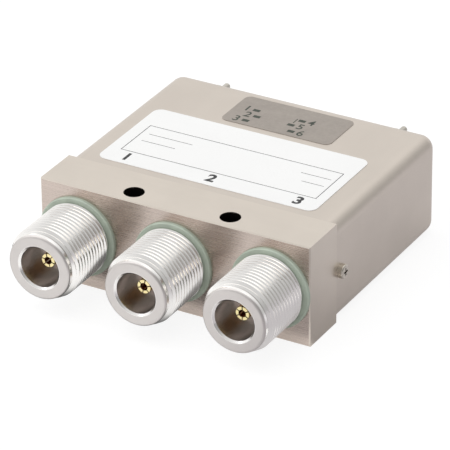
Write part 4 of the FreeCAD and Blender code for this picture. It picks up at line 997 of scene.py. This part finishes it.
@dataclass
class Film(StandIn):
    """A printed film on the can's top. Sizes in millimetres.

    Attributes:
        corner: radius of its corners.
        finish: finish of the film.
        ink: finish of what is printed on it.
        ink_height: how thick the ink is.
        ink_drop: how far the ink stays below the label's top.
        corner_steps: faces along a corner.
        digit_share: a digit's height as a share of the face's size.
    """

    corner: float
    finish: Finish
    ink: Finish
    ink_height: float = 0.008
    ink_drop: float = 0.004
    corner_steps: int = 10
    digit_share: float = 0.72

    def top(self) -> float:
        """The film's top face, low enough that the ink stays inside the label's height."""
        return self.corners()[1].z - self.ink_height - self.ink_drop

    def sheet(self, name: str, area: Area, z: float) -> bpy.types.Object:
        """Lay a flat rectangle.

        Args:
            name: the piece's name.
            area: its sides.
            z: its height above the table.

        Returns:
            The piece, being edited with all of it selected.
        """
        x0, y0, x1, y1 = area
        clear_selection()
        bpy.ops.mesh.primitive_plane_add(size=1.0)
        piece = start(name)
        bpy.ops.transform.resize(value=((x1 - x0) * MM, (y1 - y0) * MM, 1.0))
        bpy.ops.transform.translate(value=((x0 + x1) / 2 * MM, (y0 + y1) / 2 * MM, z * MM))
        return piece

    def raised(self, piece: bpy.types.Object, height: float) -> bpy.types.Object:
        """Give what is being edited a thickness, and finish it.

        Args:
            piece: the piece that is being edited.
            height: its thickness.

        Returns:
            The finished piece.
        """
        bpy.ops.mesh.select_all(action="SELECT")
        extrude(0, 0, height)
        return settle(piece)

    def frame(self, area: Area, line: float) -> bpy.types.Object:
        """Print a rectangle's outline.

        Args:
            area: its outer sides.
            line: the outline's width.

        Returns:
            The outline as a mesh.
        """
        piece = self.sheet("frame", area, self.top())
        bpy.ops.mesh.inset(thickness=line * MM, depth=0.0)
        bpy.ops.mesh.delete(type="FACE")
        return self.raised(piece, self.ink_height)

    def bar(self, name: str, area: Area) -> bpy.types.Object:
        """A printed bar or square."""
        return self.raised(self.sheet(name, area, self.top()), self.ink_height)

    def number(self, text: str, x: float, y: float, height: float, weight: float) -> bpy.types.Object:
        """A printed number, centred on a place.

        Args:
            text: the digits.
            x: its middle along X.
            y: its middle along Y.
            height: how tall the digits are.
            weight: how much wider than a plain face their strokes are.

        Returns:
            The digits as a mesh.
        """
        clear_selection()
        bpy.ops.object.text_add()
        piece = bpy.context.object
        piece.data.body = text
        piece.data.align_x = "CENTER"
        piece.data.align_y = "CENTER"
        piece.data.size = height * MM / self.digit_share
        piece.data.offset = weight * MM
        piece.data.extrude = self.ink_height * MM / 2
        bpy.ops.object.convert(target="MESH")
        piece.name = f"number_{text}"
        piece.location = (x * MM, y * MM, (self.top() + self.ink_height / 2) * MM)
        return settle(piece)

    def build_film(self) -> None:
        """Make the film itself, in the label's place."""
        low, high = self.corners()
        film = self.sheet(f"{self.label}_film", (low.x, low.y, high.x, high.y), low.z)
        bpy.ops.mesh.bevel(affect="VERTICES", offset=self.corner * MM, segments=self.corner_steps)
        self.raised(film, self.top() - low.z)
        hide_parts(self.label)
        finish_piece(film, self.finish)

    def build_print(self, pieces: list[bpy.types.Object]) -> None:
        """Join what is printed into one piece and ink it."""
        finish_piece(merged(f"{self.label}_print", pieces), self.ink)


@dataclass
class PortLabel(Film):
    """The white film: a thin frame with blank lines for entries, and the number of each port.

    Attributes:
        frame_area: the frame's outer sides.
        frame_line: the width of its outline.
        numbers: each port's number, with its middle along X and Y.
        number_height: how tall a number is.
        number_weight: how much wider than a plain face its strokes are.
        entry_lines: left end, right end and Y of each line for an entry.
        entry_thickness: the width of those lines.
    """

    label: str = "port_label"
    corner: float = 2.0
    finish: Finish = LABEL_WHITE
    ink: Finish = INK_BLACK
    frame_area: Area = (-23.2, 14.85, 22.7, 27.05)
    frame_line: float = 0.16
    numbers: tuple[tuple[str, float, float], ...] = (
        ("1", -20.3, 12.4), ("2", -0.3, 12.4), ("3", 19.9, 12.4))
    number_height: float = 3.0
    number_weight: float = 0.14
    entry_lines: tuple[tuple[float, float, float], ...] = (
        (-21.4, -11.0, 23.4), (-21.4, -13.4, 20.2), (14.6, 21.6, 23.4), (16.4, 21.6, 20.2))
    entry_thickness: float = 0.14

    def build(self) -> None:
        """Make the film, its frame, its entry lines and its numbers."""
        self.build_film()
        pieces = [self.frame(self.frame_area, self.frame_line)]
        pieces += [self.bar("entry", (left, y, right, y + self.entry_thickness))
                   for left, right, y in self.entry_lines]
        pieces += [self.number(text, x, y, self.number_height, self.number_weight)
                   for text, x, y in self.numbers]
        self.build_print(pieces)


@dataclass
class TerminalLabel(Film):
    """The grey film: a small square and a number for each solder post.

    Attributes:
        squares: each post's number, with the middle of its square along X and Y.
        lead_from: the number of the square that a line leads away from.
        square_width: size of a square along X.
        square_height: its size along Y.
        number_height: how tall a number is.
        number_weight: how much wider than a plain face its strokes are.
        number_gap: from a square's middle out to its number's.
        line: the width of the line.
        line_reach: how far from the square's middle the line ends.
    """

    label: str = "terminal_label"
    corner: float = 1.5
    finish: Finish = LABEL_GREY
    ink: Finish = INK_GREEN
    squares: tuple[tuple[str, float, float], ...] = (
        ("1", -6.9, 43.6), ("2", -5.5, 41.1), ("3", -6.8, 38.5),
        ("4", 3.9, 43.8), ("5", 2.6, 41.2), ("6", 4.0, 38.6))
    lead_from: str = "5"
    square_width: float = 1.6
    square_height: float = 1.0
    number_height: float = 2.3
    number_weight: float = 0.045
    number_gap: float = 2.2
    line: float = 0.22
    line_reach: float = 3.0

    def build(self) -> None:
        """Make the film, its squares, its numbers and the line that leads from one of them."""
        self.build_film()
        pieces = []
        half_line, wide, tall = self.line / 2, self.square_width / 2, self.square_height / 2
        for text, x, y in self.squares:
            beside = x + math.copysign(self.number_gap, x)
            pieces.append(self.bar(f"square_{text}", (x - wide, y - tall, x + wide, y + tall)))
            pieces.append(self.number(text, beside, y, self.number_height, self.number_weight))
            if text == self.lead_from:
                line = (x - half_line, y + self.square_height, x + half_line, y + self.line_reach)
                pieces.append(self.bar("lead", line))
        self.build_print(pieces)


# ----------------------------------------------------------------------------------------- wire and solder
ROUND_WIRE = 60.0                               # degrees below which a wire's edges look round


def wound(name: str, path_radius: float, wire: float, turns: float, length: float, sides: int,
          steps: int) -> bpy.types.Object:
    """Wind a wire around Z, its ends left open.

    Args:
        name: the piece's name.
        path_radius: distance from the axis to the wire's middle, in millimetres.
        wire: the wire's thickness, in millimetres.
        turns: number of turns.
        length: how far the wire's middle climbs, in millimetres.
        sides: faces around the wire.
        steps: faces along one turn.

    Returns:
        The wire, with each ring of its mesh after the last one along the path.
    """
    clear_selection()
    bpy.ops.mesh.primitive_circle_add(vertices=sides, radius=wire / 2 * MM, rotation=(math.pi / 2, 0, 0),
                                      location=(path_radius * MM, 0, 0))
    piece = bpy.context.object
    piece.name = piece.data.name = name
    bpy.ops.object.transform_apply(location=True, rotation=True, scale=True)
    rounds = math.ceil(turns)
    screw = piece.modifiers.new("turns", "SCREW")
    screw.axis = "Z"
    screw.iterations = rounds
    screw.angle = FULL_TURN * turns / rounds
    screw.screw_offset = length * MM / rounds
    screw.steps = screw.render_steps = steps
    bpy.ops.object.modifier_apply(modifier=screw.name)
    return piece


def capped(piece: bpy.types.Object) -> None:
    """Close every open ring of a piece.

    Args:
        piece: the piece, closed in place.
    """
    bpy.context.view_layer.objects.active = piece
    edit()
    bpy.ops.mesh.fill_holes(sides=0)
    leave()


def along_y(piece: bpy.types.Object, x: float, y: float, z: float) -> None:
    """Lay a piece that stands on Z along Y, its foot at a place in millimetres."""
    piece.rotation_euler = (-math.pi / 2, 0, 0)
    piece.location = (x * MM, y * MM, z * MM)


@dataclass
class Spring(StandIn):
    """Compression spring along Y with closed ends. Sizes in millimetres.

    Attributes:
        body: the body that pushes its far end; not used.
        wire: the wire's thickness.
        turns: number of turns.
        closed: turns that lie on each other at each end.
        lying: how far such a turn climbs, as a share of the wire.
        sides: faces around the wire.
        steps: faces along one turn.
    """

    body: str
    wire: float
    turns: float
    closed: float = 0.8
    lying: float = 1.04
    sides: int = 10
    steps: int = 36

    def climb(self, turn: float, pitch: float) -> float:
        """How far the wire has climbed, slowly at both ends.

        Args:
            turn: the number of turns up to a place on the wire.
            pitch: what a turn would climb if all were alike, in millimetres.

        Returns:
            The climb up to that place, in millimetres.
        """
        lying = self.wire * self.lying
        middle = self.turns - 2 * self.closed
        steep = (pitch * self.turns - 2 * self.closed * lying) / middle
        if turn < self.closed:
            return turn * lying
        if turn > self.turns - self.closed:
            return self.closed * lying + middle * steep + (turn - self.turns + self.closed) * lying
        return self.closed * lying + (turn - self.closed) * steep

    def build(self) -> None:
        """Wind the spring in its node's place."""
        low, high = self.corners()
        length = high.y - low.y - self.wire
        radius = (high.x - low.x) / 2
        piece = wound(f"{self.label}_wire", radius - self.wire / 2, self.wire, self.turns, length,
                      self.sides, self.steps)
        rings = len(piece.data.vertices) // self.sides - 1
        pitch = length / self.turns
        for vertex in piece.data.vertices:
            turn = vertex.index // self.sides * self.turns / rings
            vertex.co.z += (self.climb(turn, pitch) - turn * pitch) * MM
        capped(piece)
        middle = self.middle()
        along_y(piece, middle.x, low.y + self.wire / 2, middle.z)
        settle(piece, ROUND_WIRE)
        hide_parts(self.label)
        SPRING_STEEL.dress(piece)
        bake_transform(piece)
        log.info("%s: %d faces", piece.name, len(piece.data.polygons))


@dataclass
class CoilTurns(StandIn):
    """Outer layer of the magnet's wire over the layers below it. Sizes in millimetres.

    Attributes:
        wire: the wire's thickness.
        sides: faces around the wire.
        steps: faces along one turn.
        core_sides: faces around the layers below.
    """

    label: str = "coil_winding"
    wire: float = 0.36
    sides: int = 8
    steps: int = 40
    core_sides: int = 72

    def build(self) -> None:
        """Wind the layer between the bobbin's flanges."""
        low, high = self.corners()
        radius, length = (high.x - low.x) / 2, high.y - low.y
        layer = wound("layer", radius - self.wire / 2, self.wire, (length - self.wire) / self.wire,
                      length - self.wire, self.sides, self.steps)
        capped(layer)
        middle = self.middle()
        along_y(layer, middle.x, low.y + self.wire / 2, middle.z)
        settle(layer, ROUND_WIRE)
        clear_selection()
        bpy.ops.mesh.primitive_cylinder_add(vertices=self.core_sides, radius=(radius - self.wire / 2) * MM,
                                            depth=length * MM)
        core = start("core")
        bpy.ops.mesh.select_mode(type="FACE")
        bpy.ops.mesh.select_all(action="DESELECT")
        leave()
        for face in core.data.polygons:
            face.select = abs(face.normal.z) > MOSTLY
        bpy.ops.object.mode_set(mode="EDIT")
        bpy.ops.mesh.inset(thickness=self.wire * MM)
        bpy.ops.mesh.inset(thickness=self.wire * MM)
        leave()
        along_y(core, middle.x, middle.y, middle.z)
        settle(core)
        piece = merged("coil_turns", [layer, core])
        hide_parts(self.label)
        finish_piece(piece, COPPER_WIRE)


Place = tuple[float, float]


@dataclass
class BoardCopper:
    """Tracks and solder on the driver board's back. Sizes in millimetres.

    Attributes:
        solder_profile: shares of the solder's reach and height, from its foot up.
        side_joints: pins on each side, as places out from the middle and up, with the pin's radius.
        joints: the other pins, with X in place of the way out.
        side_tracks: corners of the tracks on each side, as places out from the middle and up.
        tracks: corners of the other tracks, as places along X and Z.
    """

    back: float = 47.4
    track_width: float = 0.5
    track_height: float = 0.035
    solder_reach: float = 0.55
    solder_height: float = 0.7
    solder_sides: int = 28
    solder_smooth: float = 50.0
    solder_profile: tuple[Place, ...] = ((0.62, 0.16), (0.3, 0.38), (0.08, 0.74), (-0.1, 1.0))
    side_joints: tuple[tuple[float, float, float], ...] = (
        (21.4, 19.35, 0.55), (17.2, 11.4, 0.55), (21.4, 3.45, 0.55))
    joints: tuple[tuple[float, float, float], ...] = (
        (-19.5, 11.4, 0.35), (-5.9, 11.4, 0.35), (3.0, 11.4, 0.3), (8.0, 11.4, 0.3), (13.0, 11.4, 0.3))
    side_tracks: tuple[tuple[Place, ...], ...] = (
        ((21.4, 19.35), (17.0, 19.35), (15.2, 17.6), (10.2, 17.6)),
        ((17.2, 11.4), (14.6, 14.0), (5.2, 14.0)),
        ((21.4, 3.45), (13.8, 3.45), (11.6, 5.6), (4.2, 5.6)))
    tracks: tuple[tuple[Place, ...], ...] = (((-5.9, 11.4), (-1.5, 11.4), (0.0, 9.9)),)

    def fillet(self, x: float, z: float, radius: float) -> bpy.types.Object:
        """A hollow-sided cone of solder around a pin.

        Args:
            x: the pin's place along X.
            z: its place along Z.
            radius: its radius.

        Returns:
            The solder as a mesh.
        """
        clear_selection()
        bpy.ops.mesh.primitive_circle_add(vertices=self.solder_sides, fill_type="NGON",
                                          radius=(radius + self.solder_reach) * MM)
        piece = start("solder")
        for share, rise in self.solder_profile:
            extrude(0, 0, 0)
            reach = (radius + self.solder_reach * share) * MM
            leave()
            chosen = [vertex for vertex in piece.data.vertices if vertex.select]
            for vertex in chosen:
                flat = Vector((vertex.co.x, vertex.co.y)).normalized() * reach
                vertex.co = (flat.x, flat.y, rise * self.solder_height * MM)
            bpy.ops.object.mode_set(mode="EDIT")
        along_y(piece, x, self.back, z)
        return settle(piece, self.solder_smooth)

    def track(self, places: list[Place]) -> bpy.types.Object:
        """A flat track, mitred at its corners.

        Args:
            places: its corners in order, as places along X and Z.

        Returns:
            The track as a mesh.
        """
        left, up = places[0]
        half = self.track_width / 2
        clear_selection()
        bpy.ops.mesh.primitive_plane_add(size=self.track_width * MM)
        piece = start("track")
        bpy.ops.transform.translate(value=(left * MM, -up * MM, 0))
        bpy.ops.mesh.select_all(action="DESELECT")
        leave()
        way = Vector(places[1]) - Vector(places[0])
        for edge in piece.data.edges:
            middle = sum((piece.data.vertices[index].co for index in edge.vertices), Vector()) / 2
            edge.select = (middle.x / MM - left) * way.x > half * abs(way.x) * MOSTLY
        bpy.ops.object.mode_set(mode="EDIT")
        for here, there in zip(places, places[1:]):
            extrude(there[0] - here[0], here[1] - there[1], 0)
        bpy.ops.mesh.select_all(action="SELECT")
        extrude(0, 0, self.track_height)
        along_y(piece, 0, self.back, 0)
        return settle(piece)

    def build(self) -> None:
        """Lay the tracks, then the solder: the left side's, the right side's, then the others."""
        sides = (-1.0, 1.0)
        routes = [[(side * out, up) for out, up in track] for side in sides for track in self.side_tracks]
        pins = [(side * out, up, radius) for side in sides for out, up, radius in self.side_joints]
        tracks = merged("board_tracks", [self.track(route) for route in (*routes, *self.tracks)])
        finish_piece(tracks, TRACK_GREEN)
        solder = merged("board_solder", [self.fillet(*pin) for pin in (*pins, *self.joints)])
        finish_piece(solder, TINNED)


# ------------------------------------------------------------------------------------------ sub-assemblies
Looks = tuple[tuple[Finish, tuple[str, ...]], ...]


@dataclass
class SubAssembly:
    """A group of pieces that belong together.

    Attributes:
        looks: each finish, with the model nodes of the group that have it.
    """

    looks: Looks

    def build(self) -> None:
        """Dress the model's own nodes, then make what the solids leave out."""
        for finish, names in self.looks:
            for name in names:
                finish.dress(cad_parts[name])
                log.info("%s: %s", name, finish.name)
        self.add_pieces()

    def add_pieces(self) -> None:
        """Make the group's own pieces: none, unless the group says otherwise."""


@dataclass
class Block(SubAssembly):
    """The block that carries the jacks, with the plate and screws that close its channel."""

    looks: Looks = (
        (BLOCK_NICKEL, ("rf_housing",)),
        (MACHINED, ("cavity_cover",)),
        (SMALL_STEEL, ("cavity_cover_screws",)))


def each_port(piece: str) -> tuple[str, ...]:
    """The names that a piece has at the three ports."""
    return tuple(f"{piece}_{port}" for port in (1, 2, 3))


@dataclass
class Jacks(SubAssembly):
    """The row of threaded jacks, each with its gasket and centre contact, and the beads inside them."""

    looks: Looks = (
        (JACK_PLATE, each_port("connector_shell")),
        (GASKET_GREEN, each_port("base_gasket")),
        (CONTACT_GOLD, each_port("centre_contact")),
        (BEAD_WHITE, ("front_beads", "rear_beads")))


class Rest(Enum):
    """How a switched contact stands while no current flows."""

    CLOSED = "nc"
    OPEN = "no"


@dataclass
class SwitchedContact(SubAssembly):
    """A reed with its push rod, clip and return spring. Sizes in millimetres.

    Attributes:
        rest: whether the contact is closed or open at rest.
        wire: thickness of the spring's wire.
        turns: number of the spring's turns.
    """

    looks: Looks = ()
    rest: Rest = Rest.CLOSED
    wire: float = 0.3
    turns: float = 4.5

    def __post_init__(self) -> None:
        """Name the contact's own nodes."""
        self.looks = tuple((finish, (f"{self.rest.value}_{piece}",)) for finish, piece in (
            (REED_GOLD, "reed"), (ROD_AMBER, "push_rod"), (SPRING_STEEL, "rod_clip")))

    def add_pieces(self) -> None:
        """Wind the return spring."""
        side = self.rest.value
        Spring(f"{side}_rod_spring", f"{side}_contact", self.wire, self.turns).build()


@dataclass
class Rocker(SubAssembly):
    """The rocking armature, its bearing and its failsafe spring. Sizes in millimetres."""

    looks: Looks = (
        (SOFT_IRON, ("rocker_armature",)),
        (SPRING_STEEL, ("axle_clips",)),
        (BRASS, ("pivot_bracket",)),
        (SMALL_STEEL, ("rocker_adjusting_screws", "rocker_axle", "pivot_bracket_screws")))
    wire: float = 0.4
    turns: float = 5.5

    def add_pieces(self) -> None:
        """Wind the failsafe spring."""
        Spring("failsafe_spring", "rocker", self.wire, self.turns).build()


@dataclass
class Magnet(SubAssembly):
    """The coil on its bobbin and core, with the yoke and the standoffs that hold it."""

    looks: Looks = (
        (SOFT_IRON, ("yoke_plate", "magnet_core")),
        (BRASS, ("frame_standoffs",)),
        (SMALL_STEEL, ("standoff_screws", "core_screw")),
        (NYLON, ("coil_bobbin",)),
        (TINNED, ("coil_pins",)))

    def add_pieces(self) -> None:
        """Wind the coil's wire."""
        CoilTurns().build()


@dataclass
class Indicator(SubAssembly):
    """The snap switch that reports the rocker's position."""

    looks: Looks = (
        (SWITCH_BLACK, ("indicator_switch_case",)),
        (PLUNGER_RED, ("indicator_plunger",)),
        (TINNED, ("indicator_terminals", "indicator_leads")),
        (MACHINED, ("indicator_bracket",)),
        (SMALL_STEEL, ("indicator_screws",)))


@dataclass
class Driver(SubAssembly):
    """The driver board with its parts, spacers and screws."""

    looks: Looks = (
        (BOARD_GREEN, ("driver_board",)),
        (CHIP_BLACK, ("board_ic", "board_transistor", "board_diodes")),
        (CHIP_CERAMIC, ("board_resistors",)),
        (BRASS, ("board_spacers",)),
        (SMALL_STEEL, ("board_screws",)))

    def add_pieces(self) -> None:
        """Lay the board's tracks and solder."""
        BoardCopper().build()


@dataclass
class Can(SubAssembly):
    """The drawn can with its screws, solder posts and labels."""

    looks: Looks = (
        (CAN_NICKEL, ("cover_can",)),
        (SCREW_NICKEL, ("cover_screws",)),
        (TINNED, ("terminal_posts",)),
        (BEAD_WHITE, ("terminal_bushings",)))

    def add_pieces(self) -> None:
        """Lay both labels."""
        PortLabel().build()
        TerminalLabel().build()


def main() -> None:
    """Build the studio, then each sub-assembly in turn."""
    logging.basicConfig(level=logging.INFO, format="%(name)s %(message)s")
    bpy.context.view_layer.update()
    Studio().build()
    contacts = (SwitchedContact(rest=rest) for rest in Rest)
    for group in (Block(), Jacks(), *contacts, Rocker(), Magnet(), Indicator(), Driver(), Can()):
        log.info("building %s", type(group).__name__)
        group.build()


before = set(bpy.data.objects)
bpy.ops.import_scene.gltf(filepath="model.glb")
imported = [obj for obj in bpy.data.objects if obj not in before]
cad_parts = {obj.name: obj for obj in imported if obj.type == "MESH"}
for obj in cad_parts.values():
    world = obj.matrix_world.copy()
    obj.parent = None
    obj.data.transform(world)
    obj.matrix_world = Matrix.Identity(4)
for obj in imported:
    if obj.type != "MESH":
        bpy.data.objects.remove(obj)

if __name__ == "__main__":
    main()
